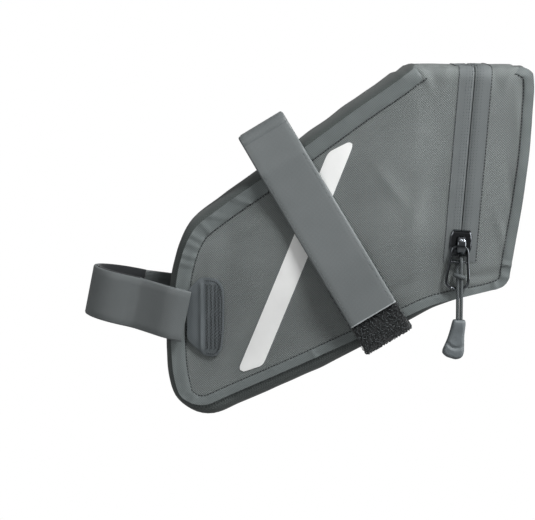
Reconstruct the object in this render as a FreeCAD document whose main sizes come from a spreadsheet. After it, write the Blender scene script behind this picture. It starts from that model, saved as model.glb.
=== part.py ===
import FreeCAD, Part
import math
import os
import Sketcher

# Saddle bag, in millimetres. +X points to the rear of the bicycle, +Y to its right, +Z up.
# The origin is the middle of the seatpost strap, on the axis of the seatpost.

SIZES = [
    # The side outline of the bag, from the nose round to the top.
    ("nose_x", 21.3, "foremost point of the bag"),
    ("nose_z", -17.0, "height of the foremost point"),
    ("bag_length", 174.1, "nose to the top rear corner"),
    ("bag_height", 166.5, "keel to the top"),
    ("keel_x", 36.5, "lowest corner, behind the nose"),
    ("keel_z", -49.0, "height of the lowest corner"),
    ("chin_back", 3.2, "chin corner, behind the nose"),
    ("chin_rise", 8.0, "chin corner, above the keel"),
    ("brow_back", 3.6, "first brow corner, behind the nose"),
    ("brow_z", 18.0, "height of the first brow corner"),
    ("crown_back", 7.3, "second brow corner, behind the nose"),
    ("crown_z", 31.0, "height of the second brow corner"),
    ("slope_back", 13.2, "foot of the top slope, behind the nose"),
    ("slope_z", 41.5, "height of the foot of the slope"),
    ("top_length", 56.0, "length of the level top"),
    ("rear_rake", 11.8, "heel corner, ahead of the top rear corner"),
    ("rear_height", 105.5, "heel corner, below the top"),
    ("bow_x", 3.2, "bow of the rear face, ahead of the top rear corner"),
    ("bow_drop", 53.5, "bow of the rear face, below the top"),
    ("heel_run", 48.6, "heel corner to the bend in the belly"),
    ("heel_drop", 14.1, "heel corner down to the bend in the belly"),
    ("corner_radius", 8.0, "every corner of the side outline"),
    # The plan of the bag.
    ("front_width", 54.0, "width at the seatpost"),
    ("rear_width", 76.0, "width behind the zip"),
    ("flare_start", 28.7, "where the sides start to widen, behind the nose"),
    ("flare_length", 89.4, "length over which they widen"),
    # Cloth and tape thicknesses.
    ("wall", 1.6, "coated cloth with its foam backing"),
    ("edge_tape", 0.7, "welded tape over the edge seam"),
    ("edge_width", 7.0, "width of the welded edge tape"),
    ("reflector", 0.5, "reflective strip"),
    ("webbing", 1.6, "thickness of every strap"),
    ("hook_pile", 0.7, "hook pad under a strap"),
    ("skim", 0.05, "clearance between faces that lie close"),
    ("play", 0.2, "gap between a moving strap and what it lies on"),
    # The zip.
    ("zip_setback", 23.2, "lower zip end, ahead of the heel corner"),
    ("zip_rise", 12.2, "lower zip end, above the heel corner"),
    ("zip_lean", 4.2, "degrees that the zip leans to the rear"),
    ("zip_run", 112.0, "longest straight length along the zip"),
    ("zip_gap", 1.0, "gap between the two rows of teeth"),
    ("front_tape", 7.3, "front zip tape, from the middle of the gap"),
    ("rear_tape", 8.0, "rear zip tape, from the middle of the gap"),
    ("coil_width", 2.6, "width of one coil"),
    ("coil_depth", 1.4, "thickness of one coil"),
    ("stop_length", 2.8, "length of the zip's end stops"),
    ("slider_start", 3.0, "slider's lower edge, above the zip end"),
    ("slider_length", 12.5, "slider, along the zip"),
    ("slider_width", 11.0, "slider, across the zip"),
    ("slider_plate", 1.0, "thickness of a slider plate"),
    ("slider_neck", 0.7, "post between the slider's plates, across the zip"),
    ("bail_start", 4.6, "lower leg of the slider's bridge, above the zip end"),
    ("bail_length", 6.4, "slider's bridge, along the zip"),
    ("bail_leg", 1.2, "leg of the slider's bridge"),
    ("bail_width", 2.6, "width of the slider's bridge"),
    ("bail_room", 2.3, "height under the slider's bridge"),
    ("bail_roof", 1.0, "thickness of the slider's bridge"),
    ("ring_wire", 1.4, "thickness of the pull ring"),
    ("ring_drop", 18.0, "pull ring, from its top bar to its foot"),
    ("ring_top", 6.2, "width of the pull ring at its top"),
    ("ring_foot", 9.3, "width of the pull ring near its foot"),
    ("ring_bar_drop", 6.7, "cross bar, below the top bar"),
    ("ring_bar_wire", 1.2, "wire of the cross bar"),
    ("ring_round", 4.5, "height of the ring's rounded foot"),
    ("cord_size", 1.6, "diameter of the pull cord"),
    ("grip_drop", 26.7, "top of the grip, below the zip end"),
    ("grip_length", 19.6, "length of the grip"),
    ("grip_depth", 4.0, "thickness of the grip"),
    # The saddle rail straps.
    ("rail_back", 46.4, "middle of the straps on the rails, behind the nose"),
    ("rail_lift", 20.1, "rail axis, straight above the top slope"),
    ("rail_rise", 31.0, "degrees that the rails rise to the rear"),
    ("rail_radius", 3.5, "radius of a saddle rail"),
    ("rail_spacing", 44.0, "between the two rail axes"),
    ("rail_strap_width", 25.0, "width of a rail strap"),
    ("rail_strap_length", 100.0, "rail axis to the strap's square end"),
    ("rail_bend", 18.0, "rail axis to where the strap meets the side"),
    ("hinge_drop", 1.1, "bend of the strap, below the rail axis"),
    ("tab_length", 12.0, "welded tab on the top slope"),
    ("hook_length", 28.0, "hook pad at the end of a rail strap"),
    ("belly_reach", 60, "belly strap, on past the side strap's end"),
    ("belly_overlap", 22.0, "belly strap under the rail strap's end"),
    ("belly_pile", 3.0, "belly strap with its pile, under the bag"),
    # The seatpost strap.
    ("post_radius", 15.8, "radius of the seatpost"),
    ("post_lean", 18.0, "degrees that the seatpost leans to the rear"),
    ("post_strap_width", 25.0, "height of the seatpost strap"),
    ("strap_meets", 20.0, "post axis to where the strap meets the side"),
    ("strap_leaves", 3.0, "post axis to where the strap leaves the post"),
    ("tail_end", 31.0, "post axis to the free end of the tail"),
    ("patch_start", 30.0, "post axis to the top front corner of the sewn patch"),
    ("patch_end", 53.0, "post axis to the far corner of the sewn patch"),
    ("patch_corner", 4, "corners cut off the anchor patches"),
    ("strap_climb", 6, "rise of the seatpost strap on its way to the patches"),
    ("patch_u", 40.9, "middle of the patches, from the post"),
    ("patch_v", 10, "middle of the patches, above the strap's middle"),
    ("patch_width", 11.8, "width of a patch"),
    ("patch_height", 38.0, "height of the sewn patch"),
    # What else is on the bag.
    ("strip_foot", 61.8, "middle of the reflective strip on the keel line"),
    ("strip_foot_z", -25.3, "height of that point"),
    ("strip_lean", 21.8, "degrees that the reflective strip leans to the rear"),
    ("strip_width", 10.6, "width of the reflective strip"),
    ("strip_length", 112.0, "length of the reflective strip"),
    ("loop_width", 15.0, "light loop, across the rear face"),
    ("loop_height", 13.0, "light loop, up the rear face"),
    ("loop_drop", 39.5, "middle of the light loop, below the top"),
    ("board", 1.2, "stiffening board"),
]

doc = FreeCAD.newDocument("SaddleBag")
sheet = doc.addObject("Spreadsheet::Sheet", "Sizes")
for row, (alias, value, meaning) in enumerate(SIZES, 1):
    sheet.set(f"A{row}", meaning)
    sheet.set(f"B{row}", str(value))
    sheet.setAlias(f"B{row}", alias)
doc.recompute()

# Expressions that more than one piece is placed by.
TOP_Z = "(Sizes.keel_z + Sizes.bag_height)"
REAR_X = "(Sizes.nose_x + Sizes.bag_length)"
TOP_FRONT_X = f"({REAR_X} - Sizes.top_length)"
HEEL_X = f"({REAR_X} - Sizes.rear_rake)"
HEEL_Z = f"({TOP_Z} - Sizes.rear_height)"
SLOPE_X = "(Sizes.nose_x + Sizes.slope_back)"
FLARE_X = "(Sizes.nose_x + Sizes.flare_start)"
FRONT_HALF = "(Sizes.front_width / 2)"
REAR_HALF = "(Sizes.rear_width / 2)"
FLARE_RATE = f"(({REAR_HALF} - {FRONT_HALF}) / Sizes.flare_length)"
SLOPE_RATE = f"(({TOP_Z} - Sizes.slope_z) / ({TOP_FRONT_X} - {SLOPE_X}))"
RAIL_X = "(Sizes.nose_x + Sizes.rail_back)"
RAIL_Z = f"(Sizes.slope_z + ({RAIL_X} - {SLOPE_X}) * {SLOPE_RATE} + Sizes.rail_lift)"
FAR = "300"

# Each frame is turned about Y: its origin in X and Z, and its lean to the rear in degrees.
FRAMES = {
    "bag": ("0", "0", "0"),
    "zip": (f"({HEEL_X} - Sizes.zip_setback)", f"({HEEL_Z} + Sizes.zip_rise)", "Sizes.zip_lean"),
    "rail": (RAIL_X, RAIL_Z, "(-Sizes.rail_rise)"),
    "post": ("0", "0", "Sizes.post_lean"),
    "strip": ("Sizes.strip_foot", "Sizes.strip_foot_z", "Sizes.strip_lean"),
}

# A sketch lies across the frame's v, across its y or across its u.
ACROSS_V = ""
ACROSS_Y = " * rotation(vector(1, 0, 0), 90)"
ACROSS_U = " * rotation(vector(1, 1, 1), 120)"


def at(frame, u, y, v, turn=""):
    """The placement of a point of a frame, as an expression."""
    x0, z0, lean = FRAMES[frame]
    x = f"{x0} + ({u}) * cos({lean}) + ({v}) * sin({lean})"
    z = f"{z0} - ({u}) * sin({lean}) + ({v}) * cos({lean})"
    return f"placement(vector({x}, {y}, {z}), rotation(vector(0, 1, 0), {lean}){turn})"


def number(expression):
    return float(sheet.evalExpression(expression))


def bind(piece, **expressions):
    for name, expression in expressions.items():
        piece.setExpression(name, expression)
    return piece


def block(name, frame, u, y, v):
    """A box of a frame, from the low to the high end of each side."""
    box = doc.addObject("Part::Box", name)
    return bind(
        box,
        Length=f"({u[1]}) - ({u[0]})",
        Width=f"({y[1]}) - ({y[0]})",
        Height=f"({v[1]}) - ({v[0]})",
        Placement=at(frame, u[0], y[0], v[0]),
    )


def rod(name, frame, radius, u, y, v):
    """A round bar along the one side that is given as a low and a high end."""
    bar = doc.addObject("Part::Cylinder", name)
    if isinstance(u, tuple):
        low, high = u
        place = at(frame, low, y, v, " * rotation(vector(0, 1, 0), 90)")
    else:
        low, high = v
        place = at(frame, u, y, low)
    return bind(bar, Radius=radius, Height=f"({high}) - ({low})", Placement=place)


def outline(name, points, place):
    """A closed sketch of straight lines, each corner held by its two distances."""
    sketch = doc.addObject("Sketcher::SketchObject", name)
    corners = [FreeCAD.Vector(number(a), number(b), 0) for a, b in points]
    count = len(corners)
    for i in range(count):
        sketch.addGeometry(Part.LineSegment(corners[i], corners[(i + 1) % count]), False)
    for i in range(count):
        sketch.addConstraint(Sketcher.Constraint("Coincident", i, 2, (i + 1) % count, 1))
    for i, (across, up) in enumerate(points):
        for kind, value, expression in (
            ("DistanceX", corners[i].x, across),
            ("DistanceY", corners[i].y, up),
        ):
            held = sketch.addConstraint(Sketcher.Constraint(kind, -1, 1, i, 1, value))
            sketch.setExpression(f"Constraints[{held}]", expression)
    return bind(sketch, Placement=place)


def plate(name, frame, points, across, low, high):
    """A sketch in a frame, pushed through from low to high."""
    solid = doc.addObject("Part::Extrusion", name)
    if across == "y":
        solid.Base = outline(name + "_sketch", points, at(frame, "0", low, "0", ACROSS_Y))
        solid.DirMode = "Custom"
        solid.Dir = FreeCAD.Vector(0, 1, 0)
    elif across == "v":
        solid.Base = outline(name + "_sketch", points, at(frame, "0", "0", low, ACROSS_V))
        solid.DirMode = "Normal"
    else:
        solid.Base = outline(name + "_sketch", points, at(frame, low, "0", "0", ACROSS_U))
        solid.DirMode = "Normal"
    solid.Solid = True
    return bind(solid, LengthFwd=f"({high}) - ({low})")


def cut(name, base, *tools):
    """The base with each tool taken away in turn."""
    for i, tool in enumerate(tools):
        part_cut = doc.addObject("Part::Cut", name if i == len(tools) - 1 else f"{name}_cut{i}")
        part_cut.Base = base
        part_cut.Tool = tool
        base = part_cut
    return base


def common(name, *shapes):
    both = doc.addObject("Part::MultiCommon", name)
    both.Shapes = list(shapes)
    return both


def fuse(name, *shapes):
    joined = doc.addObject("Part::MultiFuse", name)
    joined.Shapes = list(shapes)
    joined.Refine = True
    return joined


# ---- Forms that the cloth pieces are cut from ----

SIDE_OUTLINE = [
    (TOP_FRONT_X, TOP_Z),
    (REAR_X, TOP_Z),
    (f"{REAR_X} - Sizes.bow_x", f"{TOP_Z} - Sizes.bow_drop"),
    (HEEL_X, HEEL_Z),
    (f"{HEEL_X} - Sizes.heel_run", f"{HEEL_Z} - Sizes.heel_drop"),
    ("Sizes.keel_x", "Sizes.keel_z"),
    ("Sizes.nose_x + Sizes.chin_back", "Sizes.keel_z + Sizes.chin_rise"),
    ("Sizes.nose_x", "Sizes.nose_z"),
    ("Sizes.nose_x + Sizes.brow_back", "Sizes.brow_z"),
    ("Sizes.nose_x + Sizes.crown_back", "Sizes.crown_z"),
    (SLOPE_X, "Sizes.slope_z"),
]
BEND_CORNER = 4

sharp_profile = plate("sharp_profile", "bag", SIDE_OUTLINE, "y", "-Sizes.rear_width", "Sizes.rear_width")
doc.recompute()


def corner_edges(prism):
    """The edges along Y, one at each corner, with the bend in the belly left sharp."""
    bend = FreeCAD.Vector(*(number(e) for e in SIDE_OUTLINE[BEND_CORNER]), 0)
    found = []
    for index, edge in enumerate(prism.Shape.Edges, 1):
        start, end = (vertex.Point for vertex in edge.Vertexes)
        lies_along_y = abs(start.y - end.y) > number("Sizes.rear_width")
        if lies_along_y and abs(start.x - bend.x) + abs(start.z - bend.y) > 0.01:
            found.append(index)
    return found


profile = doc.addObject("Part::Fillet", "profile")
profile.Base = sharp_profile
profile.Edges = [(i, number("Sizes.corner_radius"), number("Sizes.corner_radius"))
                 for i in corner_edges(sharp_profile)]


def grown(name, amount):
    """The side profile with its outline moved out by an amount, or in by a negative one."""
    form = doc.addObject("Part::Offset", name)
    form.Source = profile
    form.Join = 2
    return bind(form, Value=amount)


profile_inside = grown("profile_inside", "-Sizes.wall")
profile_edge = grown("profile_edge", "-Sizes.edge_width")
profile_strap = grown("profile_strap", "Sizes.webbing")
profile_pile = grown("profile_pile", "Sizes.belly_pile")
profile_coil = grown("profile_coil", "-Sizes.wall - Sizes.coil_depth")
profile_board = grown("profile_board", "-Sizes.wall - Sizes.board")


def half_width(x, out):
    """Half the width of the bag at a place in the flare, moved out by an amount."""
    return f"({FRONT_HALF} + (({x}) - {FLARE_X}) * {FLARE_RATE} + ({out}))"


def side_points(out, sign):
    front = f"{sign} * ({FRONT_HALF} + ({out}))"
    rear = f"{sign} * ({REAR_HALF} + ({out}))"
    return [
        (f"-{FAR}", front),
        (FLARE_X, front),
        (f"{FLARE_X} + Sizes.flare_length", rear),
        (FAR, rear),
    ]


def plan(name, out):
    """The plan of the bag, moved out by an amount, as a tall solid."""
    points = side_points(out, "-1") + side_points(out, "1")[::-1]
    return plate(name, "bag", points, "v", f"-{FAR}", FAR)


def side_sheet(name, sign, inner, outer):
    """A tall sheet that follows one side of the bag between two distances from it."""
    points = side_points(inner, sign) + side_points(outer, sign)[::-1]
    return plate(name, "bag", points, "v", f"-{FAR}", FAR)


plan_outside = plan("plan_outside", "0")
plan_inside = plan("plan_inside", "-Sizes.wall")
plan_coil = plan("plan_coil", "-Sizes.wall - Sizes.coil_depth")

WIDE = (f"-{FAR}", FAR)
COVER_GAP = "0.3"
behind_zip = block("behind_zip", "zip", ("-Sizes.front_tape", FAR), WIDE, ("0", FAR))
cover_zone = block("cover_zone", "zip", ("Sizes.rear_tape", FAR), WIDE, (COVER_GAP, FAR))
top_zone = block("top_zone", "bag", (TOP_FRONT_X, FAR), WIDE,
                 (f"{TOP_Z} - Sizes.corner_radius - Sizes.wall", FAR))
slope_zone = block("slope_zone", "bag", (SLOPE_X, TOP_FRONT_X), WIDE, ("Sizes.slope_z - Sizes.wall", FAR))
front_zone = block("front_zone", "bag", (f"-{FAR}", "Sizes.keel_x"), WIDE, WIDE)
rear_zone = block("rear_zone", "bag", (f"{HEEL_X} - Sizes.corner_radius", FAR), WIDE, WIDE)

shell = cut(
    "shell",
    common("shell_outside", profile, plan_outside),
    common("shell_inside", profile_inside, plan_inside),
)
ring = common("ring", cut("ring_full", profile, profile_inside), plan_inside)

nodes = {}


def node(name, piece):
    """Name a finished piece, which gives its file its name."""
    piece.Label = name
    nodes[name] = piece
    return piece


# ---- Cloth walls that stay with the bag ----

SIDES = (("left", "-1"), ("right", "1"))

for side, sign in SIDES:
    wall = common(f"{side}_wall", profile, side_sheet(f"{side}_wall_sheet", sign, "-Sizes.wall", "0"))
    node(f"{side}_side_panel", cut(f"{side}_front_wall", wall, behind_zip))
    node(f"cover_{side}_side", common(f"{side}_cover_wall", wall, cover_zone))

ring_ahead = cut("ring_ahead", ring, behind_zip)
node("top_panel", common("top_strip", ring_ahead, top_zone))
node("slope_gusset", common("slope_strip", cut("ring_under_top", ring_ahead, top_zone), slope_zone))
node("front_gusset", cut("front_strip", common("ring_front", ring_ahead, front_zone), slope_zone))
below = cut("ring_below", ring_ahead, top_zone, slope_zone, front_zone)
node("belly_gusset", cut("belly_strip", below, rear_zone))
node("rear_lower_panel", common("heel_strip", below, rear_zone))

# ---- The cover behind the zip ----

ring_behind = common("ring_behind", ring, cover_zone)
node("cover_top", common("cover_top_strip", ring_behind, top_zone))
node("cover_rear_panel", cut("cover_rear_strip", ring_behind, top_zone))

# ---- Welded tape over the edge seams, left off the folded top ----

edge_ring = cut("edge_ring", profile, profile_edge)
for side, sign in SIDES:
    skin = side_sheet(f"{side}_tape_sheet", sign, "0", "Sizes.edge_tape")
    tape = cut(f"{side}_tape_ring", common(f"{side}_tape_full", edge_ring, skin), top_zone)
    node(f"{side}_edge_tape", cut(f"{side}_tape_ahead", tape, behind_zip))
    node(f"cover_{side}_edge_tape", common(f"{side}_tape_behind", tape, cover_zone))

# ---- Zip tapes, coils and end stops ----

HALF_GAP = "Sizes.zip_gap / 2"
COIL_END = "Sizes.zip_gap / 2 + Sizes.coil_width"
tape_front_zone = block("tape_front_zone", "zip", ("-Sizes.front_tape", f"-{HALF_GAP}"), WIDE,
                        ("0", "Sizes.zip_run"))
tape_rear_zone = block("tape_rear_zone", "zip", (HALF_GAP, "Sizes.rear_tape"), WIDE,
                       (COVER_GAP, "Sizes.zip_run"))
coil_front_zone = block("coil_front_zone", "zip", (f"-({COIL_END})", f"-{HALF_GAP}"), WIDE,
                        ("0", "Sizes.zip_run"))
coil_rear_zone = block("coil_rear_zone", "zip", (HALF_GAP, COIL_END), WIDE,
                       (COVER_GAP, "Sizes.zip_run"))
coil_layer = cut(
    "coil_layer",
    common("coil_outside", profile_inside, plan_inside),
    common("coil_inside", profile_coil, plan_coil),
)
node("zip_front_tape", common("front_tape", shell, tape_front_zone))
node("zip_rear_tape", common("rear_tape", shell, tape_rear_zone))
node("zip_front_coil", common("front_coil", coil_layer, coil_front_zone))
node("zip_rear_coil", common("rear_coil", coil_layer, coil_rear_zone))
stop_zone = block("stop_zone", "zip", (f"-({COIL_END})", COIL_END), WIDE,
                  ("-Sizes.stop_length - Sizes.play", "-Sizes.play"))
node("zip_end_stops", common("end_stops", coil_layer, stop_zone))

# ---- Slider, on the left side ----

SLIDER_LOW = "Sizes.slider_start"
SLIDER_HIGH = "Sizes.slider_start + Sizes.slider_length"
HALF_SLIDER = "Sizes.slider_width / 2"
PLATE_IN = f"-({REAR_HALF} + Sizes.play)"
PLATE_OUT = f"-({REAR_HALF} + Sizes.play + Sizes.slider_plate)"
INNER_OUT = f"-({REAR_HALF} - Sizes.wall - Sizes.coil_depth - Sizes.play)"
INNER_IN = f"-({REAR_HALF} - Sizes.wall - Sizes.coil_depth - Sizes.play - Sizes.slider_plate)"
slider_across = (f"-{HALF_SLIDER}", HALF_SLIDER)
slider_along = (SLIDER_LOW, SLIDER_HIGH)
node(
    "slider_body",
    fuse(
        "slider",
        block("slider_outer", "zip", slider_across, (PLATE_OUT, PLATE_IN), slider_along),
        block("slider_inner", "zip", slider_across, (INNER_OUT, INNER_IN), slider_along),
        block("slider_post", "zip", ("-Sizes.slider_neck / 2", "Sizes.slider_neck / 2"),
              (PLATE_IN, INNER_OUT), (f"{SLIDER_HIGH} - 3", SLIDER_HIGH)),
    ),
)

BAIL_HIGH = "Sizes.bail_start + Sizes.bail_length"
BAIL_IN = f"{PLATE_OUT} - Sizes.bail_room"
BAIL_OUT = f"{PLATE_OUT} - Sizes.bail_room - Sizes.bail_roof"
bail_points = [
    (PLATE_OUT, "Sizes.bail_start"),
    (BAIL_OUT, "Sizes.bail_start"),
    (BAIL_OUT, BAIL_HIGH),
    (PLATE_OUT, BAIL_HIGH),
    (PLATE_OUT, f"{BAIL_HIGH} - Sizes.bail_leg"),
    (BAIL_IN, f"{BAIL_HIGH} - Sizes.bail_leg"),
    (BAIL_IN, "Sizes.bail_start + Sizes.bail_leg"),
    (PLATE_OUT, "Sizes.bail_start + Sizes.bail_leg"),
]
node("slider_bail", plate("bail", "zip", bail_points, "u",
                          "-Sizes.bail_width / 2", "Sizes.bail_width / 2"))

# ---- Pull ring: a drop-shaped frame with a cross bar for the cord ----

RING_Y = f"({PLATE_OUT} - Sizes.ring_wire)"
RING_V = "(Sizes.bail_start + Sizes.bail_leg + Sizes.ring_wire)"
RING_FOOT_V = f"({RING_V} - Sizes.ring_drop)"
BAR_V = f"({RING_V} - Sizes.ring_bar_drop)"
TOP_HALF = "Sizes.ring_top / 2"
FOOT_HALF = "Sizes.ring_foot / 2"
ring_sheet = (f"{RING_Y} - Sizes.ring_wire / 2", f"{RING_Y} + Sizes.ring_wire / 2")


def drop_points(inset):
    """The drop outline of the ring, drawn in by an inset."""
    right = [
        (f"{TOP_HALF} - ({inset})", RING_V),
        (f"{FOOT_HALF} - ({inset})", f"{RING_FOOT_V} + Sizes.ring_round"),
        (f"{FOOT_HALF} - Sizes.ring_round / 4 - ({inset})",
         f"{RING_FOOT_V} + Sizes.ring_round / 3 + ({inset}) / 2"),
        (f"{FOOT_HALF} - Sizes.ring_round / 2 - ({inset}) / 2", f"{RING_FOOT_V} + ({inset})"),
    ]
    left = [(f"-({across})", up) for across, up in reversed(right)]
    return right + left


ring_outer = plate("ring_outer", "zip", drop_points("0"), "y", *ring_sheet)
ring_window = plate("ring_window", "zip", drop_points("Sizes.ring_wire"), "y",
                    f"{RING_Y} - Sizes.ring_wire", f"{RING_Y} + Sizes.ring_wire")
node(
    "pull_ring",
    fuse(
        "drop_ring",
        cut("ring_frame", ring_outer, ring_window),
        rod("ring_top_bar", "zip", "Sizes.ring_wire / 2", (f"-{TOP_HALF}", TOP_HALF), RING_Y, RING_V),
        rod("ring_cross_bar", "zip", "Sizes.ring_bar_wire / 2",
            (f"-{TOP_HALF} - Sizes.play", f"{TOP_HALF} + Sizes.play"), RING_Y, BAR_V),
    ),
)

# ---- Pull cord: one length, doubled round the cross bar, both ends in the grip ----

BESIDE = 0.85
AHEAD = -1.9
CORD_ROUTE = [
    # Across the zip, out from the ring, and up from the cross bar.
    (BESIDE + 2.0, AHEAD, None),
    (BESIDE + 1.0, AHEAD, -13.0),
    (BESIDE, -1.7, -4.5),
    (0.75, -1.7, 1.7),
    (0.25, 1.6, 1.7),
    (-0.25, 1.6, -1.8),
    (-BESIDE, -1.75, -4.8),
    (1.0 - BESIDE, AHEAD, -13.5),
    (2.0 - BESIDE, AHEAD, None),
]
SHARE_OF_RUN = 0.45


def cord_points():
    frame = FreeCAD.Placement(sheet.evalExpression(at("zip", "0", "0", "0")))
    grip_top = -number("Sizes.grip_drop") - number(BAR_V)
    points = []
    for across, out, up in CORD_ROUTE:
        rise = grip_top if up is None else up
        local = FreeCAD.Vector(across, number(RING_Y) + out, number(BAR_V) + rise)
        points.append(frame.multVec(local))
    return points


def rounded_path(points):
    """Straight runs joined by arcs that touch both of their runs."""
    edges = []
    radii = []
    start = points[0]
    for before, corner, after in zip(points, points[1:], points[2:]):
        back = before - corner
        ahead = after - corner
        turn = math.pi - back.getAngle(ahead)
        reach = SHARE_OF_RUN * min(back.Length, ahead.Length)
        radii.append(reach / math.tan(turn / 2))
        back.normalize()
        ahead.normalize()
        leave = corner + back * reach
        meet = corner + ahead * reach
        middle = (back + ahead).normalize()
        far = (radii[-1] ** 2 + reach ** 2) ** 0.5
        top = corner + middle * (far - radii[-1])
        edges.append(Part.LineSegment(start, leave).toShape())
        edges.append(Part.Arc(leave, top, meet).toShape())
        start = meet
    edges.append(Part.LineSegment(start, points[-1]).toShape())
    return Part.Wire(edges), radii


def pull_cord():
    path, radii = rounded_path(cord_points())
    radius = number("Sizes.cord_size") / 2
    first = path.Edges[0]
    start = first.Vertexes[0].Point
    direction = first.tangentAt(first.FirstParameter)
    section = Part.Wire([Part.Circle(start, direction, radius).toShape()])
    tube = path.makePipeShell([section], True, False)
    cord = doc.addObject("Part::Feature", "cord")
    cord.Shape = tube
    expected = math.pi * radius ** 2 * path.Length
    print("cord length", round(path.Length, 2), "volume", round(tube.Volume, 2), "of", round(expected, 2))
    print("cord radii", [round(r, 2) for r in radii])
    return cord


node("pull_cord", pull_cord())

# ---- Rubber grip, flared and swept towards the front ----

GRIP_TOP = "-Sizes.grip_drop"
GRIP_OUTLINE = [
    # Across the grip, and down it as a share of its length.
    (-1.1, 0),
    (5.1, 0),
    (5.4, 0.4),
    (5.8, 0.84),
    (4.5, 0.96),
    (2.1, 1),
    (-3.2, 0.92),
    (-5.0, 0.79),
    (-2.6, 0.4),
]
grip_points = [(f"{across}", f"{GRIP_TOP} - Sizes.grip_length * {down}") for across, down in GRIP_OUTLINE]
GRIP_Y = f"({RING_Y} + ({AHEAD}))"
node("pull_grip", plate("grip", "zip", grip_points, "y",
                        f"{GRIP_Y} - Sizes.grip_depth / 2", f"{GRIP_Y} + Sizes.grip_depth / 2"))

# ---- Reflective strips, light loop and stiffening boards ----

strip_zone = block("strip_zone", "strip", ("-Sizes.strip_width / 2", "Sizes.strip_width / 2"), WIDE,
                   ("0", "Sizes.strip_length"))
for side, sign in SIDES:
    skin = side_sheet(f"{side}_strip_sheet", sign, "0", "Sizes.reflector")
    node(f"{side}_reflective_strip", common(f"{side}_strip", profile_edge, skin, strip_zone))

LOOP_Z = f"({TOP_Z} - Sizes.loop_drop)"
loop_zone = block("loop_zone", "bag", (TOP_FRONT_X, FAR), ("-Sizes.loop_width / 2", "Sizes.loop_width / 2"),
                  (f"{LOOP_Z} - Sizes.loop_height / 2", f"{LOOP_Z} + Sizes.loop_height / 2"))
strap_skin = cut("strap_skin", profile_strap, profile)
node("light_loop", common("rear_loop", strap_skin, loop_zone))

side_board_zone = block("side_board_zone", "zip",
                        (f"-{FAR}", f"-({COIL_END}) - Sizes.front_tape"), WIDE, WIDE)
for side, sign in SIDES:
    sheet_in = side_sheet(f"{side}_board_sheet", sign, "-Sizes.wall - Sizes.board", "-Sizes.wall")
    node(f"{side}_stiffener", common(f"{side}_board", profile_edge, sheet_in, side_board_zone))
base_zone = block("base_zone", "bag", ("Sizes.keel_x + Sizes.corner_radius", f"{HEEL_X} - Sizes.heel_run"),
                  WIDE, (f"-{FAR}", "Sizes.crown_z"))
plan_board = plan("plan_board", "-Sizes.wall - Sizes.board - Sizes.play")
base_ring = cut("base_ring", profile_inside, profile_board)
node("base_board", common("base", base_ring, plan_board, base_zone))

# ---- Belly strap, with pile that the rail straps' hook pads hold ----

HALF_RAIL_STRAP = "Sizes.rail_strap_width / 2"
strap_across = (f"-{HALF_RAIL_STRAP}", HALF_RAIL_STRAP)
STRAP_END = "(-Sizes.rail_strap_length)"
PILE_OUT = "Sizes.edge_tape + Sizes.webbing"
belly_zone = block("belly_zone", "rail", strap_across, WIDE,
                   (f"{STRAP_END} - Sizes.belly_reach", f"{STRAP_END} + Sizes.belly_overlap"))
belly_band = cut(
    "belly_band",
    common("belly_outside", profile_pile, plan("plan_pile", PILE_OUT)),
    common("belly_inside", profile, plan("plan_tape", "Sizes.edge_tape")),
)
node("belly_strap", common("belly", belly_band, belly_zone))

# ---- Rail straps: a loop sewn to the slope, and a leg that peels off the side ----

PAD_IN = f"{PILE_OUT} + Sizes.play"
PAD_OUT = f"{PAD_IN} + Sizes.hook_pile"
LEG_OUT = f"{PAD_OUT} + Sizes.webbing"
AXIS_OUT = "Sizes.rail_radius + Sizes.webbing / 2"
LOOP_OUT = "(Sizes.rail_radius + Sizes.webbing)"
BEND_V = "(-Sizes.rail_bend)"


def span(sign, near, far):
    """Two distances from the middle of the bag as a low and a high end on one side."""
    if sign == "1":
        return (near, far)
    return (f"-({far})", f"-({near})")


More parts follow.
